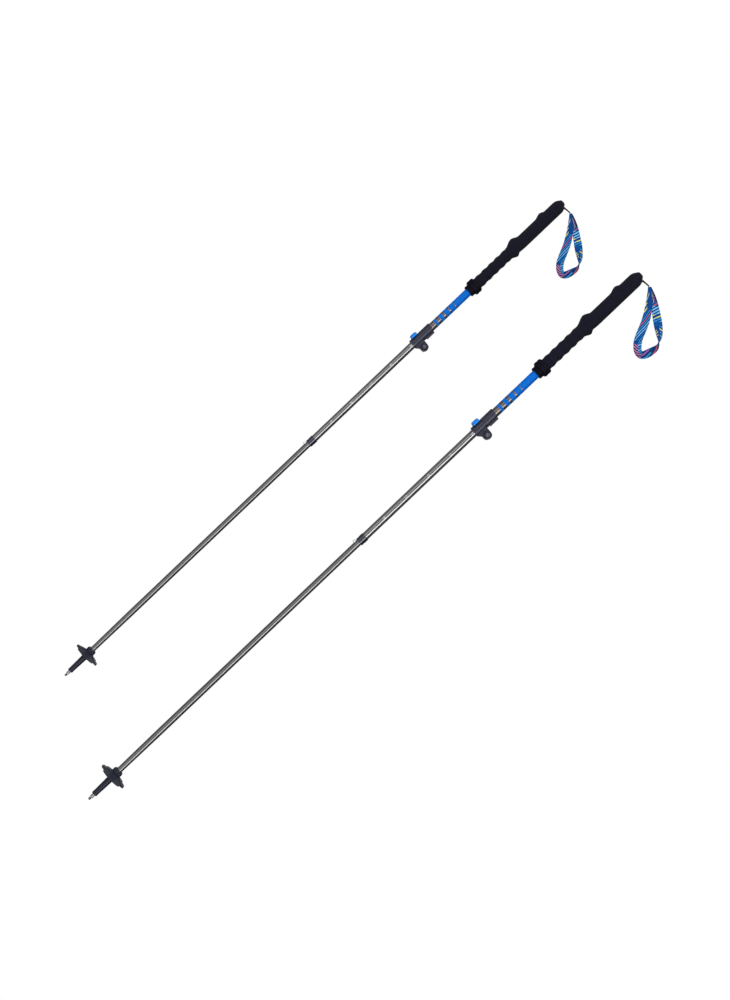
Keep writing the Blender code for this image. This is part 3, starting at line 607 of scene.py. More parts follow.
def webbing_paint(name):
    """Woven strap: royal blue with blocks of printed stripes, over a fine ribbed weave whose colour carries
    painted shade. Near the top, a solid black band down the right edge is the cord's painted shadow.
    """
    royal, deep = (0.001, 0.052, 0.235), (0.0015, 0.032, 0.14)
    ice, cyan, sky = (0.2, 0.52, 0.8), (0.03, 0.3, 0.6), (0.004, 0.14, 0.42)
    yellow, cream, coral = (0.72, 0.66, 0.12), (0.5, 0.47, 0.36), (0.6, 0.09, 0.13)
    # black is used only for the cord's painted shadow on the strap
    pink, lilac, black = (0.6, 0.2, 0.36), (0.32, 0.1, 0.34), (0.006, 0.006, 0.015)
    full = (-1, 15)
    blocks = [
        (((0, 27), full, 2.8, 0.34, (0.1, 1.0), (cream, lilac, cyan)), deep),
        # painted shadow: a solid black band along the right edge for the first 26 mm, where the cord's
        # shadow falls
        (((0, 26), (10.5, 15), 9.0, 1.0, (0.0, 1.0), (black,)), deep),
        (((27.5, 31), full, 3.9, 0.4, (1.0, 0.2), (coral,)), royal),
        (((32, 46), full, 4.7, 0.45, (1.0, 0.3), (ice,)), royal),
        (((46, 52.5), full, 6.6, 0.3, (1.0, 0.3), (yellow,)), royal),
        (((52.5, 60), full, 4.4, 0.4, (1.0, 0.3), (ice, cyan)), royal),
        (((59, 66), full, 3.2, 0.25, (1.0, 0.16), (sky,)), royal),
        (((66, 94), (8.5, 15), 5.2, 0.4, (1.0, -0.8), (yellow, cyan, ice, cyan)), royal),
        (((72, 83), (-1, 5), 4.6, 0.3, (1.0, 0.8), (yellow,)), royal),
        (((98, 114), full, 5.6, 0.36, (0.3, 1.0), (coral, deep, sky)), deep),
        (((114, 131), full, 6.4, 0.36, (0.3, 1.0), (deep, coral, cyan, lilac)), deep),
        (((131, 151), (-1, 8), 4.6, 0.45, (1.0, 0.9), (pink,)), deep),
        (((131, 156), (8, 15), 4.6, 0.42, (1.0, -0.6), (cyan, ice)), royal),
        (((156, 211), full, 3.6, 0.34, (-0.42, 1.0), (ice, sky, cyan, coral, cyan, ice)), royal),
        (((205, 224), (-1, 4), 5.4, 0.34, (-0.42, 1.0), (yellow,)), royal),
        (((222, 244), (-1, 5), 7.0, 0.26, (-0.4, 1.0), (cream,)), royal),
    ]
    paint, tree = new_paint(name, Roughness=0.8, Specular_IOR_Level=0.12)
    split = node(tree, "SeparateXYZ", {"Vector": node(tree, "UVMap").outputs[0]})
    wobble = maths(tree, "MULTIPLY_ADD", noise(tree, 90.0, 1.0), 1.4 * MM, -0.7 * MM)
    chart = {
        "along": maths(tree, "ADD", split.outputs["Y"], wobble),
        "across": maths(tree, "ADD", split.outputs["X"], wobble),
    }
    colour = node(tree, "RGB").outputs[0]
    colour.default_value = (*royal, 1.0)
    for patch, base in blocks:
        mask, dyed = stripe_block(tree, chart, patch, base)
        colour = mixed(tree, mask, colour, dyed)
    # Painted shade of the weave: the colour is darkened by up to a quarter in the hollows between ribs and
    # yarns, besides the bump
    ribs = maths(tree, "SINE", maths(tree, "MULTIPLY", split.outputs["Y"], tau / (0.7 * MM)))
    yarns = maths(tree, "SINE", maths(tree, "MULTIPLY", split.outputs["X"], tau / (0.55 * MM)))
    weave = maths(tree, "MULTIPLY", ribs, yarns)
    painted_weave_shade = maths(tree, "MULTIPLY_ADD", weave, 0.12, 0.88)
    woven = node(tree, "VectorMath", {0: colour, "Scale": painted_weave_shade}, operation="SCALE")
    return dress(paint, Base_Color=woven.outputs[0], Normal=raised(tree, weave, 0.000012), Sheen_Weight=0.06)


def make_paints(first_band):
    """Fills PAINTS. Each maker's table gives a paint's colour and finish."""
    makers = {
        machined: {
            "carbide": ((0.2, 0.2, 0.21), 0.42),
            "ferrule_metal": ((0.7, 0.7, 0.72), 0.42),
            "bright_aluminium": ((0.75, 0.75, 0.77), 0.3),
            "screw_steel": ((0.26, 0.245, 0.32), 0.5),
            "pin_steel": ((0.55, 0.55, 0.57), 0.3),
            "spring_steel": ((0.5, 0.5, 0.52), 0.32),
        },
        moulded: {
            "sleeve_plastic": ((0.013, 0.014, 0.029), 0.4, 0.5),
            "basket_plastic": ((0.014, 0.016, 0.03), 0.44),
            "clamp_plastic": ((0.022, 0.023, 0.042), 0.34, 0.7),
            "lever_plastic": ((0.006, 0.011, 0.023), 0.34),
            "tab_plastic": ((0.004, 0.21, 0.72), 0.36, 0.4),
            "knob_plastic": ((0.026, 0.025, 0.044), 0.4),
            "inner_plastic": ((0.06, 0.06, 0.07), 0.5),
            "bush_plastic": ((0.5, 0.5, 0.48), 0.4),
            "print": ((0.72, 0.72, 0.74), 0.5),
            "collar_rubber": ((0.003, 0.0025, 0.007), 0.62, 0.16),
        },
        lacquered: {"ring_plastic": ((0.006, 0.008, 0.026),)},
        graphite_paint: {
            "graphite_tube": ((0.36, 0.36, 0.37),),
            "graduated_tube": ((0.5, 0.5, 0.51),),
        },
        blue_tube_paint: {"blue_tube": (first_band,)},
        button_paint: {"button_steel": ()},
        braid_paint: {
            "cord_fibre": ((0.6, 0.58, 0.52), 1.6),
            "strap_cord": ((0.008, 0.008, 0.01), 1.3),
        },
        webbing_paint: {"strap_webbing": ()},
        foam_paint: {"grip_foam": ()},
    }
    for make, looks in makers.items():
        for name, look in looks.items():
            PAINTS[name] = make(name, *look)


# Metal point, sleeve and basket

def make_point(pole):
    bottom, top, radius = pole.span("carbide_tip")
    seat = pole.box("tip_ferrule")[0].z - 0.3
    bm = lathe([
        (0.0, bottom + 0.5), (radius * 0.45, bottom + 0.42, 0.3), (radius * 0.86, bottom, 0.12),
        (radius, bottom + 0.5, 0.3), (radius, seat - 0.9, 0.2), (radius * 0.8, seat - 0.5, 0.2),
        (radius * 0.8, seat), (radius * 0.6, seat), (radius * 0.6, top), (0.0, top),
    ], closed=False, steps=SMALL_ROUND)
    pole.publish(bm, "point", "carbide", "tip", "carbide_tip")
    bottom, top, radius = pole.span("tip_ferrule")
    bore = radius / 2
    groove = bottom + 4.4
    bm = lathe([
        (0.0, pole.box("carbide_tip")[1].z + 0.5), (bore, pole.box("carbide_tip")[1].z + 0.5),
        (bore, bottom), (radius - 0.7, bottom, 0.2), (radius, bottom + 1.1, 0.5),
        (radius, groove, 0.15), (radius - 0.35, groove + 0.4, 0.15),
        (radius - 0.35, groove + 0.8, 0.15), (radius, groove + 1.2, 0.15), (radius, top, 0.3),
        (0.0, top),
    ], closed=False, steps=SMALL_ROUND)
    pole.publish(bm, "point_holder", "ferrule_metal", "tip", "tip_ferrule")


def make_sleeve(pole):
    """The tip sleeve swells slightly upwards, with a lip at its foot and thread under the basket."""
    bottom, top, radius = pole.span("tip_sleeve")
    shoulder = pole.box("basket")[0].z - 0.3
    foot_r, waist_r, bore_r, seat_r = 5.05, radius - 0.5, 3.3, radius - 1.0
    seat = pole.box("tip_tube")[0].z - 0.3
    outside = [
        (foot_r - 0.35, bottom, 0.25), (foot_r, bottom + 0.7, 0.3), (foot_r, bottom + 2.6, 0.2),
        (foot_r - 0.22, bottom + 3.0, 0.2), (waist_r, shoulder - 0.6, 0.4), (radius - 0.3, shoulder),
    ]
    thread_pitch = 2.4
    height = shoulder + 1.0
    while height + thread_pitch < top - 0.6:
        outside += [
            (radius - 0.4, height, 0.2), (radius, height + thread_pitch * 0.3, 0.3),
            (radius, height + thread_pitch * 0.5, 0.3),
            (radius - 0.4, height + thread_pitch * 0.8, 0.2),
        ]
        height += thread_pitch
    inside = [(radius - 0.4, top, 0.3), (seat_r, top), (seat_r, seat), (bore_r, seat), (bore_r, bottom)]
    bm = lathe(outside + inside)
    pole.publish(bm, "sleeve", "sleeve_plastic", "tip", "tip_sleeve")


def petal_scale(angle):
    """How far the basket's rim reaches at an angle, as a share of its radius. The notches are narrow."""
    return 1.0 - PETAL_NOTCH * wave(angle, PETALS) ** 4


def basket_rings(bottom, top, rim_r):
    """Rings around the basket's section: out under the petals, round the rim and back over them."""
    hub_r, rim_z = 8.9, 54.7
    steps, count = 14, PETALS * 28
    rings = []
    for k in range(count):
        angle = tau * k / count
        seam = wave(angle, PETALS) ** 6
        reach = rim_r * petal_scale(angle)
        lip = 1.6 * exp(-((angle + pi) % tau - pi) ** 2 / 0.05)
        over, under = [], []
        for i in range(steps + 1):
            share = i / steps
            radius = hub_r + (reach - hub_r) * share
            dish = ridge(share, 0.12, 0.5, 0.86)
            fan = 1 - wave(angle, 3 * PETALS)
            upper = top - 0.4 - (top - rim_z - 1.4) * (0.35 * share + 0.65 * share ** 0.8)
            upper -= dish * (0.7 * seam + 0.25 * (1 - fan ** 2))
            upper -= 0.35 * ridge(share, 0.8, 0.86, 0.92)
            lower = bottom + 1.5 + (rim_z - bottom - 2.5) * (1 - (1 - share) ** 2.2) - lip * share ** 6
            lower += dish * (1.5 * (1 - fan ** 2) + 0.5 * seam)
            over.append((radius, upper))
            under.append((radius, lower))
        edge_r = reach + RIM_ROUND
        rim = [(edge_r, rim_z - 0.6 - lip), (edge_r, rim_z + 0.4)]
        section = [(BASKET_BORE_R, bottom), (hub_r - 0.6, bottom), (hub_r - 0.1, bottom + 0.5)]
        section += under + rim + over[::-1]
        section += [(hub_r - 0.2, top - 0.2), (hub_r - 0.6, top), (BASKET_BORE_R, top)]
        rings.append([(r * cos(angle), r * sin(angle), z) for r, z in section])
    return rings


def make_basket(pole):
    low, high = pole.box("basket")
    rim_r = (high.x - low.x) / 2 - RIM_ROUND
    bm = skin(basket_rings(low.z, high.z, rim_r), closed=True)
    pole.publish(bm, "petal_basket", "basket_plastic", "basket", "basket")


def make_basket_nut(pole):
    """A ribbed collar with a smooth lip at its top."""
    bottom, top, _ = pole.span("basket_nut")
    radius, lip_r, ribs = 8.9, 5.35, 16
    lip = pole.box("tip_sleeve")[1].z + 0.3
    bm = lathe([
        (BASKET_BORE_R, bottom), (radius - 0.3, bottom, 0.2), (radius, bottom + 0.5, 0.3),
        (radius, top - 2.0, 0.4), (radius - 0.9, top - 1.2, 0.3), (radius - 1.4, top, 0.4),
        (lip_r, top), (lip_r, lip), (BASKET_BORE_R, lip),
    ], steps=ribs * 8)
    flute(bm, radius - 0.5, 0.7, ribs)
    pole.publish(bm, "collar_nut", "basket_plastic", "nut", "basket_nut")


# Tubes

def plain_tube(bottom, top, outer_r, inner_r):
    lip = 0.2
    return lathe([
        (inner_r, bottom), (outer_r - lip, bottom), (outer_r, bottom + lip), (outer_r, top - lip),
        (outer_r - lip, top), (inner_r, top),
    ])


def make_tubes(pole):
    bottom, top, radius = pole.span("tip_tube")
    end_r, nut_r, taper_top, tip_wall, wall, blue_wall = 4.75, 4.95, 160.0, 0.8, 0.75, 0.6
    nut_top = pole.box("basket_nut")[1].z
    bm = lathe([
        (end_r - tip_wall, bottom), (end_r, bottom), (nut_r, nut_top), (radius, taper_top, 8.0),
        (radius, top - 0.25), (radius - 0.2, top), (radius - tip_wall, top),
        (radius - tip_wall, taper_top),
    ])
    pole.publish(bm, "lowest_tube", "graphite_tube", "tip", "tip_tube")
    bottom, top, radius = pole.span("centre_tube")
    piece = pole.place(plain_tube(bottom, top, radius, radius - wall), "thin_tube", "graphite_tube")
    button_low, button_high = pole.box("snap_button")
    height = pole.middle("snap_button").z
    hole = rod((button_high.z - button_low.z) / 2 + FIT, (-9, 0, height), (-2, 0, height))
    pole.carve(piece, cuts=[hole])
    pole.enlist(piece, "centre", "centre_tube")
    bottom, top, radius = pole.span("graduated_tube")
    bm = plain_tube(bottom, top, radius, radius - wall)
    pole.publish(bm, "grey_tube", "graduated_tube", "shaft", "graduated_tube")
    bottom, top, radius = pole.span("upper_tube")
    bm = plain_tube(bottom, top, radius, radius - blue_wall)
    pole.publish(bm, "blue_tube", "blue_tube", "upper", "upper_tube")


def wrap(bm, radius, height, facing):
    """Bends a flat (x, y) mesh around the shaft, centred on an angle, standing a hair proud."""
    for corner in bm.verts:
        angle = facing + corner.co.x / radius
        z = height + corner.co.y
        corner.co = (radius * cos(angle), radius * sin(angle), z)


def numeral(text, size):
    """A flat mesh of a number, centred, in millimetres."""
    curve = bpy.data.curves.new("numeral", "FONT")
    curve.body = text
    curve.size = size
    curve.align_x = "CENTER"
    curve.align_y = "CENTER"
    curve.resolution_u = 3
    curve.extrude = 0.0
    holder = new_object("numeral", curve)
    bpy.context.view_layer.update()
    mesh = bpy.data.meshes.new_from_object(holder.evaluated_get(bpy.context.evaluated_depsgraph_get()))
    bpy.data.objects.remove(holder)
    bm = bmesh.new()
    bm.from_mesh(mesh)
    bmesh.ops.remove_doubles(bm, verts=bm.verts[:], dist=0.001)
    return bm


def make_scale(pole):
    """Printed lengths on the grey tube: a short line and a number in centimetres every 50 mm."""
    _, _, radius = pole.span("graduated_tube")
    clamp_bottom = pole.box("clamp_body")[0].z
    print_r = radius + 0.03
    front = -pi / 2 - 0.1
    gap_below_clamp, pitch, count = 3.5, 50.0, 5
    longest_cm, step_cm, digit_size = 125, 5, 3.2
    line_size, line_rise, digit_drop = (5.0, 0.7, 1.0), 1.2, 1.4
    together = bmesh.new()
    for k in range(count):
        height = clamp_bottom - gap_below_clamp - pitch * k
        line = bmesh.new()
        bmesh.ops.create_grid(line, x_segments=12, y_segments=1, size=0.5)
        bmesh.ops.scale(line, verts=line.verts[:], vec=line_size)
        wrap(line, print_r, height + line_rise, front)
        digits = numeral(str(longest_cm - step_cm * k), digit_size)
        wrap(digits, print_r, height - digit_drop, front)
        for part in (line, digits):
            mesh = bpy.data.meshes.new("mark")
            part.to_mesh(mesh)
            part.free()
            together.from_mesh(mesh)
            bpy.data.meshes.remove(mesh)
    bmesh.ops.recalc_face_normals(together, faces=together.faces[:])
    piece = pole.publish(together, "length_marks", "print", "shaft")
    skin_on = piece.modifiers.new("ink", "SOLIDIFY")
    skin_on.thickness = 0.04 * MM
    skin_on.offset = 0.0


def make_ring(pole):
    bottom, top, radius = pole.span("joint_ring")
    throat, seat, floor = 5.9, 6.9, bottom + 2.3
    waist = bottom + (top - bottom) * 0.32
    bm = lathe([
        (throat, bottom), (radius - 0.6, bottom, 0.3), (radius - 0.2, bottom + 0.9, 0.3),
        (radius - 0.2, waist, 0.15), (radius - 0.5, waist + 0.3, 0.1), (radius - 0.5, waist + 0.8, 0.1),
        (radius, waist + 1.1, 0.15), (radius, top - 0.9, 0.5), (radius - 0.5, top, 0.3), (seat, top),
        (seat, floor), (throat, floor),
    ])
    pole.publish(bm, "ring", "ring_plastic", "shaft", "joint_ring")


def make_button(pole):
    """The button lies along X. It sinks inwards as the tube slides up past the ring."""
    low, high = pole.box("snap_button")
    height = pole.middle("snap_button").z
    radius, flange_r = 2.75, 2.9
    bm = lathe([
        (0.0, high.x), (flange_r, high.x), (flange_r, high.x - 0.6), (radius, high.x - 0.6),
        (radius, low.x + 2.0, 1.2), (radius - 0.5, low.x + 0.6, 0.8), (radius - 1.6, low.x + 0.05, 0.6),
        (0.0, low.x),
    ], closed=False, steps=SMALL_ROUND)
    place = Matrix.Translation((0.0, 0.0, height)) @ Matrix.Rotation(radians(90), 4, "Y")
    bmesh.ops.transform(bm, matrix=place, verts=bm.verts[:])
    piece = pole.publish(bm, "push_button", "button_steel", "button", "snap_button")
    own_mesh(piece)


def make_cord(pole):
    """The tension cord. On the real pole it stretches over the fold joint when the tip section is pulled
    off; this mesh stays as built.
    """
    low, high = pole.box("tension_cord")
    radius, knot_r = 1.0, 2.6
    beside_button = (2.6, 2.4)
    stations = [
        (0.0, 0.0, low.z + 0.2, radius), (0.0, 0.0, low.z + 1.4, knot_r),
        (0.0, 0.0, low.z + 4.2, knot_r), (0.0, 0.0, low.z + 6.0, radius),
    ]
    for height in (120.0, 200.0, 270.0, 285.0, 300.0, 320.0, 345.0, 540.0):
        stations.append((0.0, 0.0, height, radius))
    stations += [
        (*beside_button, 570.0, radius), (*beside_button, 690.0, radius),
        (0.0, 0.0, 730.0, radius), (0.0, 0.0, high.z - 6.0, radius),
        (0.0, 0.0, high.z - 4.4, knot_r), (0.0, 0.0, high.z - 1.4, knot_r),
        (0.0, 0.0, high.z - 0.2, radius),
    ]
    bm = cord([s[:3] for s in stations], [s[3] for s in stations])
    piece = pole.place(bm, "inner_cord", "cord_fibre")
    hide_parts(f"{pole.side}_tension_cord")
    joint = pole.box("tip_tube")[1].z
    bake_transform(piece)


# Clamp

def clamp_axis(pole):
    """The tension screw's place (x, z), and the lever pin's place (x, y)."""
    screw, pin = pole.middle("adjuster_knob"), pole.middle("lever_pin")
    return (screw.x, screw.z), (pin.x, pin.y)


def make_clamp_body(pole):
    low, high = pole.box("clamp_body")
    radius, seam, slant = 9.45, low.z + 21.7, 4.6
    screw, _ = clamp_axis(pole)
    ear_r, ear_front, ear_back, slit = 8.0, -7.0, 5.0, 2.0
    stop_x, stop_low, stop_high, stop_half, root_x = 11.2, 901.6, 920.0, 5.6, 5.0
    tube_r = pole.span("upper_tube")[2] + 0.12
    shaft_r = pole.span("graduated_tube")[2] + FIT
    body = lathe([
        (0.0, low.z), (radius - 0.3, low.z, 0.3), (radius, low.z + 1.1, 0.6),
        (radius, seam - 0.9, 0.25), (radius - 0.3, seam - 0.3, 0.15), (radius - 0.3, seam + 0.3, 0.15),
        (radius, seam + 0.9, 0.25), (radius, high.z - 1.3, 0.7), (radius - 0.9, high.z, 0.4),
        (0.0, high.z),
    ], closed=False)
    piece = pole.place(body, "clamp", "clamp_plastic")
    outline = [(6.0, low.z + 1.2), (9.6, low.z + 1.5)]
    outline += arc(screw, ear_r, -112, 62, 24)
    outline += [(13.0, seam - 1.0), (6.0, seam - 1.0)]
    ears = eased(slab(outline, ear_front, ear_back, normal="Y"), 0.9, 4)
    stop = eased(slab([
        (root_x, stop_low - 2.6), (7.6, stop_low - 2.0), (8.4, stop_low + 0.4),
        (stop_x, stop_low), (stop_x, stop_high),
        (stop_x - 1.2, stop_high + 1.4), (root_x, stop_high + 2.6),
    ], -stop_half, stop_half, normal="Y"), 0.8, 4)
    past, right = 14, 30
    above = high.z + 3
    wedge = [(-past, high.z), (past, high.z - slant), (past, above), (-past, above)]
    seam_outline = [(-past, -past), (right, -past), (right, past), (3.3, past), (3.3, 0.7), (-past, 0.7)]
    cuts = [
        slab(wedge, -past, past, normal="Y"),
        block((4, -slit / 2, low.z - 2), (right, slit / 2, seam)),
        rod(1.6, (screw[0], -12, screw[1]), (screw[0], 12, screw[1])),
        rod(tube_r, (0, 0, pole.box("upper_tube")[0].z - GAP), (0, 0, high.z + 5), ROUND),
        rod(shaft_r, (0, 0, low.z - 5), (0, 0, low.z + 4), ROUND),
        slab(seam_outline, seam - GAP, seam + GAP),
    ]
    pole.carve(piece, joins=[ears, stop], cuts=cuts)
    pole.enlist(piece, "upper", "clamp_body")
    soften(piece, 0.28, 50)


def make_lever(pole):
    """The arm wraps round the back of the clamp, with three grooves to grip, from a hub on the pin."""
    bottom, top, _ = pole.span("clamp_lever")
    inner_r, outer_r, hub_r, edge = 9.7, 12.3, 5.2, 0.5
    start_deg, end_deg = 58, 220
    screw, pin = clamp_axis(pole)
    outline = arc((0, 0), outer_r, start_deg, end_deg, 40) + arc((0, 0), inner_r, end_deg, start_deg, 40)
    piece = pole.place(eased(slab(outline, bottom, top), edge), "lever", "lever_plastic")
    bridge_outline = [(3.2, 9.95), (pin[0], 9.95), (pin[0], 14.2), (9.0, 14.0), (5.0, 12.6)]
    bridge = eased(slab(bridge_outline, bottom, top), edge)
    hub = eased(rod(hub_r, (*pin, bottom), (*pin, top)), edge)
    past, window_x, window_half = 8, 1.9, 2.2
    cuts = [
        rod(pole.span("lever_pin")[2] + FIT, (*pin, bottom - 2), (*pin, top + 2)),
        block((pin[0] - window_x, pin[1] - past, screw[1] - window_half),
              (pin[0] + past, pin[1] + past, screw[1] + window_half)),
    ]
    pitch, depth, half_width = 3.4, 0.45, 0.45
    for rise in (-pitch, 0.0, pitch):
        groove = screw[1] + rise
        ring = lathe([
            (outer_r - depth, groove - half_width), (outer_r + 2.0, groove - 0.7),
            (outer_r + 2.0, groove + 0.7), (outer_r - depth, groove + half_width),
        ])
        away = [c for c in ring.verts if not 95 <= degrees(atan2(c.co.y, c.co.x)) % 360 <= 165]
        bmesh.ops.delete(ring, geom=away, context="VERTS")
        bmesh.ops.holes_fill(ring, edges=ring.edges[:], sides=0)
        cuts.append(ring)
    pole.carve(piece, joins=[bridge, hub], cuts=cuts)
    pole.enlist(piece, "lever", "clamp_lever")
    soften(piece, 0.35, 45)
    make_tab(pole, bottom, top, outer_r + 0.02)


def make_tab(pole, bottom, top, inner_r):
    """The lever's blue finger tab: a D-shaped section swept around the arm, with rounded ends."""
    outer_r, start_deg, end_deg = -pole.box("lever_tab")[0].x, 163, 229
    middle, half = (bottom + top) / 2, (top - bottom) / 2
    steps, corner, squareness = 40, 24, 0.55
    rings = []
    for i in range(steps + 1):
        share = 2 * i / steps - 1
        angle = radians(start_deg + (end_deg - start_deg) * (i / steps))
        end = (1 - abs(share) ** 5) ** 0.5
        ridges = 0.14 * wave(tau * i / steps, 7) * end
        ring = []
        for k in range(corner + 1):
            turn = pi * (k / corner - 0.5)
            bulge = abs(cos(turn)) ** squareness
            rise = copysign(abs(sin(turn)) ** squareness, turn)
            radius = inner_r + (outer_r - inner_r - ridges) * bulge * (0.12 + 0.88 * end)
            height = middle + half * rise * (0.82 + 0.18 * end)
            ring.append((radius * cos(angle), radius * sin(angle), height))
        rings.append(ring)
    bm = skin(rings, closed=False)
    pole.publish(bm, "finger_tab", "tab_plastic", "lever", "lever_tab", sharp=radians(60))


def on_screw(pole, bm):
    """Lays a lathe along Y on the screw's axis, its top end forward."""
    screw, _ = clamp_axis(pole)
    turn = Matrix.Rotation(radians(90), 4, "X")
    bmesh.ops.transform(bm, matrix=Matrix.Translation((screw[0], 0.0, screw[1])) @ turn, verts=bm.verts[:])
    return bm


def make_knob(pole):
    """The fluted knob and the cross-headed screw in its dish."""
    low, high = pole.box("adjuster_knob")
    radius = (high.x - low.x) / 2
    back, front, bore_r, dish_r, flutes = -high.y, -low.y, 1.6, 4.3, 14
    bm = lathe([
        (bore_r, back), (radius - 0.3, back, 0.2), (radius, back + 0.6, 0.3),
        (radius, front - 1.0, 0.5), (radius - 0.8, front, 0.4), (dish_r + 0.1, front, 0.3),
        (dish_r, front - 2.6), (bore_r, front - 2.6),
    ], steps=flutes * 8)
    flute(bm, radius - 0.25, 0.35, flutes)
    pole.publish(on_screw(pole, bm), "knob", "knob_plastic", "adjuster", "adjuster_knob")
    low, high = pole.box("clamp_screw")
    screw, _ = clamp_axis(pole)
    tail, head, stem_r, head_r = -high.y, -low.y, 1.3, 4.05
    bm = lathe([
        (0.0, tail), (1.0, tail, 0.2), (stem_r, tail + 0.6), (stem_r, head - 2.1), (head_r, head - 2.1),
        (head_r, head - 0.7, 0.4), (3.4, head, 0.5), (0.0, head),
    ], closed=False)
    piece = pole.place(on_screw(pole, bm), "tension_screw", "screw_steel")
    bars = []
    for wide, high, more in ((2.9, 0.45, 0.0), (0.45, 2.9, 0.05)):
        bars.append(block((screw[0] - wide, -head - 1 - 2 * more, screw[1] - high),
                          (screw[0] + wide, -head + 0.75 + more, screw[1] + high)))
    pole.carve(piece, cuts=bars)
    pole.enlist(piece, "adjuster", "clamp_screw")


def make_lever_pin(pole):
    bottom, top, radius = pole.span("lever_pin")
    screw, pin = clamp_axis(pole)
    bm = lathe([
        (0.0, bottom), (radius - 0.5, bottom, 0.2), (radius, bottom + 0.6, 0.3),
        (radius, top - 0.6, 0.3), (radius - 0.5, top, 0.2), (0.8, top, 0.1), (0.6, top - 0.5),
        (0.0, top - 0.5),
    ], closed=False, steps=SMALL_ROUND)
    bmesh.ops.translate(bm, verts=bm.verts[:], vec=(*pin, 0.0))
    piece = pole.place(bm, "barrel_pin", "pin_steel")
    pole.carve(piece, cuts=[rod(1.45, (pin[0], 4, screw[1]), (pin[0], 18, screw[1]))])
    pole.enlist(piece, "upper", "lever_pin")


# Grip and strap

def make_collar(pole):
    """Rubber neck and flange: the flange has a waist groove and the neck two fine rings."""
    bottom, top, flange_r = pole.span("grip_collar")
    flange, neck_r = bottom + 7.9, 11.0
    bore_r = pole.span("upper_tube")[2] + FIT
    middle = (flange + top) / 2
    bm = lathe([
        (bore_r, bottom), (neck_r - 0.7, bottom, 0.4), (neck_r, bottom + 1.2, 0.4),
        (neck_r, bottom + 3.0, 0.2), (neck_r - 0.5, bottom + 3.5, 0.2),
        (neck_r - 0.5, bottom + 4.1, 0.2), (neck_r, bottom + 4.6, 0.2), (neck_r, flange, 0.4),
        (flange_r - 1.4, flange, 0.5), (flange_r, flange + 2.0, 0.9), (flange_r, middle - 1.0, 0.3),
        (flange_r - 0.5, middle - 0.4, 0.3), (flange_r - 0.5, middle + 0.4, 0.3),
        (flange_r, middle + 1.0, 0.3), (flange_r, top - 2.0, 0.9), (flange_r - 1.4, top, 0.5),
        (bore_r, top),
    ], steps=96)
    pole.publish(bm, "collar", "collar_rubber", "upper", "grip_collar")


def grip_reach(height):
    """How far the grip reaches at a height: towards -X, towards +X and to either side along Y."""
    thin, finger_pitch, first_finger, dome = 10.6, 16.0, 1046.0, 1238.0
    fingers = 0.6 * cos(tau * (height - first_finger) / finger_pitch)
    fingers *= ramp(height, 1038.0, 1043.0) * (1 - ramp(height, 1108.0, 1118.0))
    swell = ramp(height, 1112.0, 1150.0)
    back = thin + fingers + 0.9 * swell + 5.6 * ridge(height, 1117.0, 1136.5, 1151.0)
    back += 3.4 * ridge(height, 1193.0, 1207.0, 1217.0)
    front = thin + fingers + 2.2 * swell + 3.9 * ridge(height, 1114.0, 1126.0, 1134.0)
    side = thin + 0.7 * fingers + 2.6 * swell + 1.6 * ridge(height, 1112.0, 1132.0, 1150.0)
    head = max(height - dome, 0.0)
    return back - 0.034 * head ** 2, front - 0.040 * head ** 2, side - 0.030 * head ** 2


def make_grip(pole):
    bottom, top, _ = pole.span("grip")
    shoulder = top - 1.5
    count = round(shoulder - bottom)
    rings = []
    for i in range(count + 1):
        height = bottom + (shoulder - bottom) * i / count
        back, front, side = grip_reach(height)
        edge = ramp(height, bottom, bottom + 1.2) * 0.6 - 0.6
        ring = []
        for k in range(ROUND):
            angle = tau * k / ROUND
            across = cos(angle)
            reach = front if across > 0 else back
            ring.append(((reach + edge) * across, (side + edge) * sin(angle), height))
        rings.append(ring)
    last = rings[-1]
    for shrink, rise in ((0.975, 0.7), (0.93, 1.2), (0.86, 1.5), (0.5, 1.5)):
        rings.append([(x * shrink, y * shrink, shoulder + rise) for x, y, _ in last])
    piece = pole.place(skin(rings, closed=False), "grip_body", "grip_foam")
    pin_low, pin_high = pole.box("strap_pin")
    pin = pole.middle("strap_pin")
    bore_r, pin_hole_r, slot_half = pole.span("upper_tube")[2] + FIT, 1.6, 2.3
    cuts = [
        rod(bore_r, (0, 0, bottom - 5), (0, 0, pole.box("upper_tube")[1].z + 17), ROUND),
        block((-0.8, -slot_half, pin.z - 4.2), (18.0, slot_half, pin.z + 4.5)),
        rod(pin_hole_r, (pin.x, pin_low.y - 0.4, pin.z), (pin.x, pin_high.y + 0.4, pin.z), 20),
    ]
    pole.carve(piece, cuts=cuts)
    pole.enlist(piece, "upper", "grip")


def make_strap_cord(pole):
    """The thin cord loops round the pin in the grip's head, and ends inside the strap's gathered top."""
    pin = pole.middle("strap_pin")
    cord_r, turn_r, half_x = 0.95, 2.5, 12.5
    end_x, end_z = pole.box("strap_cord")[1].x - cord_r - 0.6, pin.z + 4.0
    points = [
        (end_x, -1.0, end_z), (half_x, -1.0, pin.z + 3.2), (pin.x + 0.6, -1.0, pin.z + turn_r),
        (pin.x - turn_r, -0.4, pin.z + 0.3), (pin.x, 0.5, pin.z - turn_r),
        (pin.x + 3.4, 1.0, pin.z - 1.0), (half_x, 1.0, pin.z + 2.6), (end_x, 1.0, end_z),
        (end_x + 0.7, 0.0, end_z + 0.05),
    ]
    path = smooth_path(points, 8, closed=True)
    bm = cord(path, [cord_r] * len(path), closed=True)
    pole.publish(bm, "wrist_cord", "strap_cord", "strap", "strap_cord")


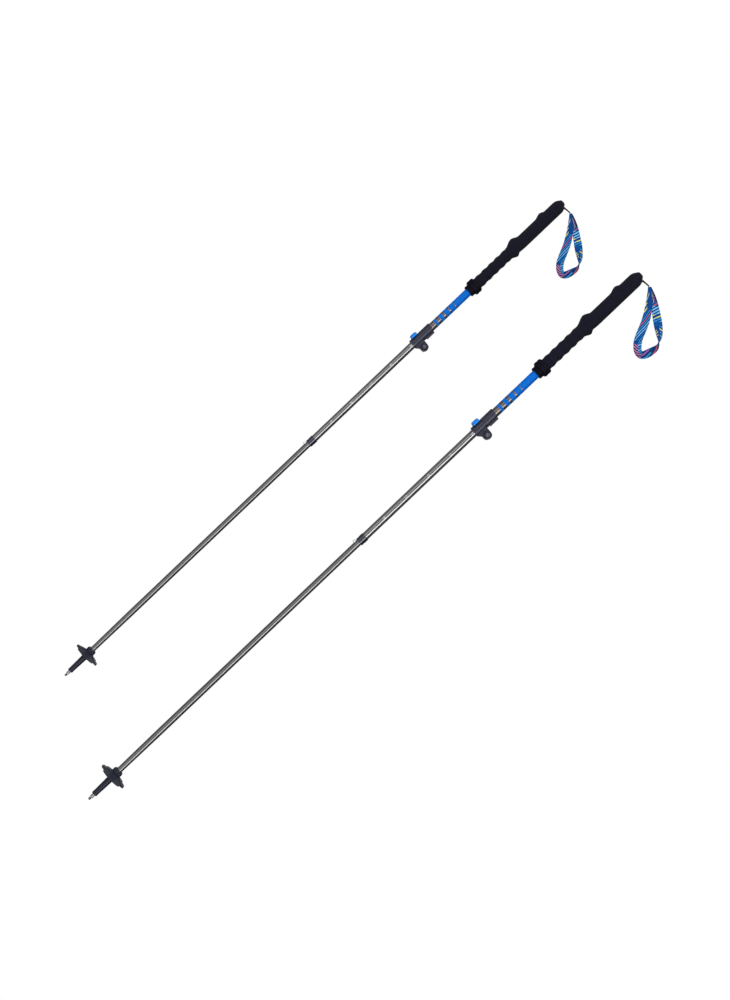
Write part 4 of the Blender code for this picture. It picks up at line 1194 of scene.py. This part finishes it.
def strap_rings():
    """The webbing's rings, from its gathered top down the far strand, round the fold and back up.

    Each station is (across, down, depth, half width, twist), measured from the gathered top along
    and square to the way the strap hangs.
    """
    stations = [
        (1.5, 1.0, 0.9, 2.2, 0.0), (5.2, 14.0, 1.8, 4.8, 0.0), (9.4, 29.0, 2.2, 6.0, 0.0),
        (12.7, 47.0, 2.2, 7.0, 4.0), (15.0, 61.0, 2.1, 7.6, 10.0), (16.9, 76.6, 1.8, 7.6, 30.0),
        (16.8, 86.5, 1.2, 7.6, 55.0), (15.2, 94.5, 0.6, 7.4, 88.0), (10.0, 102.0, 0.0, 7.2, 128.0),
        (1.0, 108.6, -0.3, 6.9, 158.0), (-8.0, 112.8, -0.6, 6.6, 178.0),
        (-14.8, 112.4, -0.9, 6.3, 206.0), (-18.8, 105.5, -1.4, 6.5, 200.0),
        (-19.2, 95.3, -1.9, 6.8, 186.0), (-17.0, 85.0, -2.3, 6.9, 180.0),
        (-12.6, 74.0, -2.6, 6.9, 180.0), (-6.3, 57.8, -2.7, 6.8, 180.0), (-1.8, 39.0, -2.6, 6.2, 180.0),
        (0.2, 22.0, -2.2, 4.9, 180.0), (0.6, 10.0, -1.6, 3.4, 180.0), (0.4, 1.0, -1.1, 2.2, 180.0),
    ]
    top_x, top_z = 23.6, 1249.0
    hang_x, hang_z = 0.7247, -0.6891
    half_thick, cells = 0.6, 12
    path = smooth_path(stations, 14)
    rings = []
    for i, (across, down, depth, half, twist) in enumerate(path):
        ahead, behind = path[min(i + 1, len(path) - 1)], path[max(i - 1, 0)]
        travel = Vector((ahead[0] - behind[0], 0.0, behind[1] - ahead[1])).normalized()
        flat = Vector((-travel.z, 0.0, travel.x))
        turn = radians(twist)
        wide = flat * cos(turn) + Vector((0.0, 1.0, 0.0)) * sin(turn)
        thick = travel.cross(wide).normalized()
        shares = [2 * k / cells - 1 for k in range(cells + 1)]
        cup = 0.5 * min(1.0, half / 7.0)
        ring = []
        for face, order in ((-1, shares), (1, shares[::-1])):
            for share in order:
                body = half_thick * (1.0 if abs(share) < 0.95 else 0.55)
                offset = wide * half * share + thick * (body * face + cup * (share * share - 0.4))
                x = top_x + (across + offset.x) * -hang_z + (down - offset.z) * hang_x
                z = top_z + (across + offset.x) * hang_x + (down - offset.z) * hang_z
                ring.append(Vector((x, depth + offset.y, z)))
        rings.append(ring)
    lengths = travelled([(across, depth, down) for across, down, depth, _, _ in path])
    return rings, lengths, cells


def make_strap(pole):
    rings, lengths, cells = strap_rings()
    webbing = 14.0
    face = [webbing * k / cells for k in range(cells + 1)]
    widths = face + face[::-1] + [0.0]
    bm = skin(rings, closed=False, lengths=lengths, widths=widths)
    pole.publish(bm, "wrist_strap", "strap_webbing", "strap", "strap")


KEPT_SHAPES = {
    "fold_ferrule": "bright_aluminium",
    "cord_stopper": "inner_plastic",
    "cord_anchor": "inner_plastic",
    "button_spring": "spring_steel",
    "guide_bush": "bush_plastic",
    "top_plug": "inner_plastic",
    "strap_pin": "pin_steel",
}


def dress_hidden(pole):
    """CAD pieces that keep their own shape get a finish and smooth shading."""
    for name, paint in KEPT_SHAPES.items():
        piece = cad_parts[f"{pole.side}_{name}"]
        piece.data.materials.clear()
        piece.data.materials.append(PAINTS[paint])
        piece.data.shade_smooth()
        piece.data.set_sharp_from_angle(angle=SHARP_ANGLE)


# Stage, light and camera

def make_stage():
    bm = bmesh.new()
    bmesh.ops.create_grid(bm, x_segments=1, y_segments=1, size=12.0)
    mesh = bpy.data.meshes.new("floor")
    bm.to_mesh(mesh)
    bm.free()
    floor = new_object("floor", mesh)
    floor.location = (0.0, 0.0, -0.03)
    paint = bpy.data.materials.new("pale_floor")
    paint.use_nodes = True
    tree = paint.node_tree
    tree.nodes.clear()
    glow = node(tree, "Emission", {"Color": (1, 1, 1, 1), "Strength": 1.0})
    out = node(tree, "OutputMaterial")
    tree.links.new(glow.outputs[0], out.inputs["Surface"])
    mesh.materials.append(paint)
    floor.visible_glossy = False
    floor.visible_diffuse = False
    floor.visible_shadow = False


def make_world():
    """White to the camera. Shiny pieces see a dim studio with soft strip lights around it."""
    world = bpy.data.worlds.new("studio")
    bpy.context.scene.world = world
    world.use_nodes = True
    tree = world.node_tree
    tree.nodes.clear()
    facing = node(tree, "TexCoord").outputs["Generated"]
    split = node(tree, "SeparateXYZ", {"Vector": facing})
    turn = maths(tree, "ARCTAN2", split.outputs["X"], maths(tree, "MULTIPLY", split.outputs["Y"], -1.0))
    share = maths(tree, "MULTIPLY_ADD", turn, 1 / tau, 0.5)
    levels = [
        (-180, 0.30), (-170, 0.30), (-164, 0.05), (-70, 0.06), (-46, 0.08), (-38, 0.28), (-24, 0.28),
        (-17, 0.055), (16, 0.05), (23, 1.0), (36, 1.0), (43, 0.02), (80, 0.010), (150, 0.02),
        (165, 0.05), (170, 0.30), (180, 0.30),
    ]
    strips = gradient(tree, share, [(turned / 360 + 0.5, (level,) * 3) for turned, level in levels])
    tilt = maths(tree, "ABSOLUTE", split.outputs["Z"])
    steep = node(tree, "MapRange", {"Value": tilt, "From Min": 0.55, "From Max": 0.9})
    around = mixed(tree, steep.outputs[0], strips, (0.14, 0.14, 0.14))
    seen = node(tree, "LightPath").outputs["Is Camera Ray"]
    studio = node(tree, "Background", {"Color": around, "Strength": 2.8})
    white = node(tree, "Background", {"Color": (1, 1, 1, 1), "Strength": 1.0})
    choose = node(tree, "MixShader", {"Fac": seen})
    tree.links.new(studio.outputs[0], choose.inputs[1])
    tree.links.new(white.outputs[0], choose.inputs[2])
    out = node(tree, "OutputWorld")
    tree.links.new(choose.outputs[0], out.inputs["Surface"])


def make_softbox(name, place, aim, size, power):
    """A large soft light that doesn't show in reflections."""
    light = bpy.data.lights.new(name, "AREA")
    light.shape = "RECTANGLE"
    light.size, light.size_y = size
    light.energy = power
    box = new_object(name, light)
    box.location = place
    box.rotation_euler = (Vector(aim) - Vector(place)).to_track_quat("-Z", "Y").to_euler()
    box.visible_glossy = False


def make_lights():
    low, high = cad_box
    middle = (low + high) / 2
    make_softbox("key", middle + Vector((-1.6, -2.4, 1.4)), middle, (2.0, 2.4), 75)
    make_softbox("fill", middle + Vector((2.2, -2.0, 0.1)), middle, (2.0, 2.4), 22)
    make_softbox("back_key", middle + Vector((1.4, 2.4, 1.0)), middle, (2.0, 2.4), 55)
    make_softbox("back_fill", middle + Vector((-2.4, 1.6, 0.4)), middle, (2.0, 2.4), 30)


def make_camera():
    data = bpy.data.cameras.new("camera")
    data.lens = CAMERA_LENS
    camera = new_object("camera", data)
    camera.location = CAMERA_AIM + Vector((0.0, -CAMERA_DISTANCE, 0.0))
    level = Matrix.Rotation(radians(90), 4, "X")
    roll = Matrix.Rotation(radians(90) - POLE_RISE, 4, "Z")
    camera.rotation_euler = (level @ roll).to_euler()
    bpy.context.scene.camera = camera


def build():
    make_paints(Pole("right").box("clamp_body")[1].z - 1.2)
    makers = (
        make_point, make_sleeve, make_basket, make_basket_nut, make_tubes, make_scale, make_ring,
        make_button, make_cord, make_clamp_body, make_lever, make_knob, make_lever_pin, make_collar,
        make_grip, make_strap_cord, make_strap, dress_hidden,
    )
    for side in ("right", "left"):
        pole = Pole(side)
        for make in makers:
            make(pole)


build()
make_stage()
make_world()
make_lights()
make_camera()
bpy.context.scene.view_settings.view_transform = "Standard"
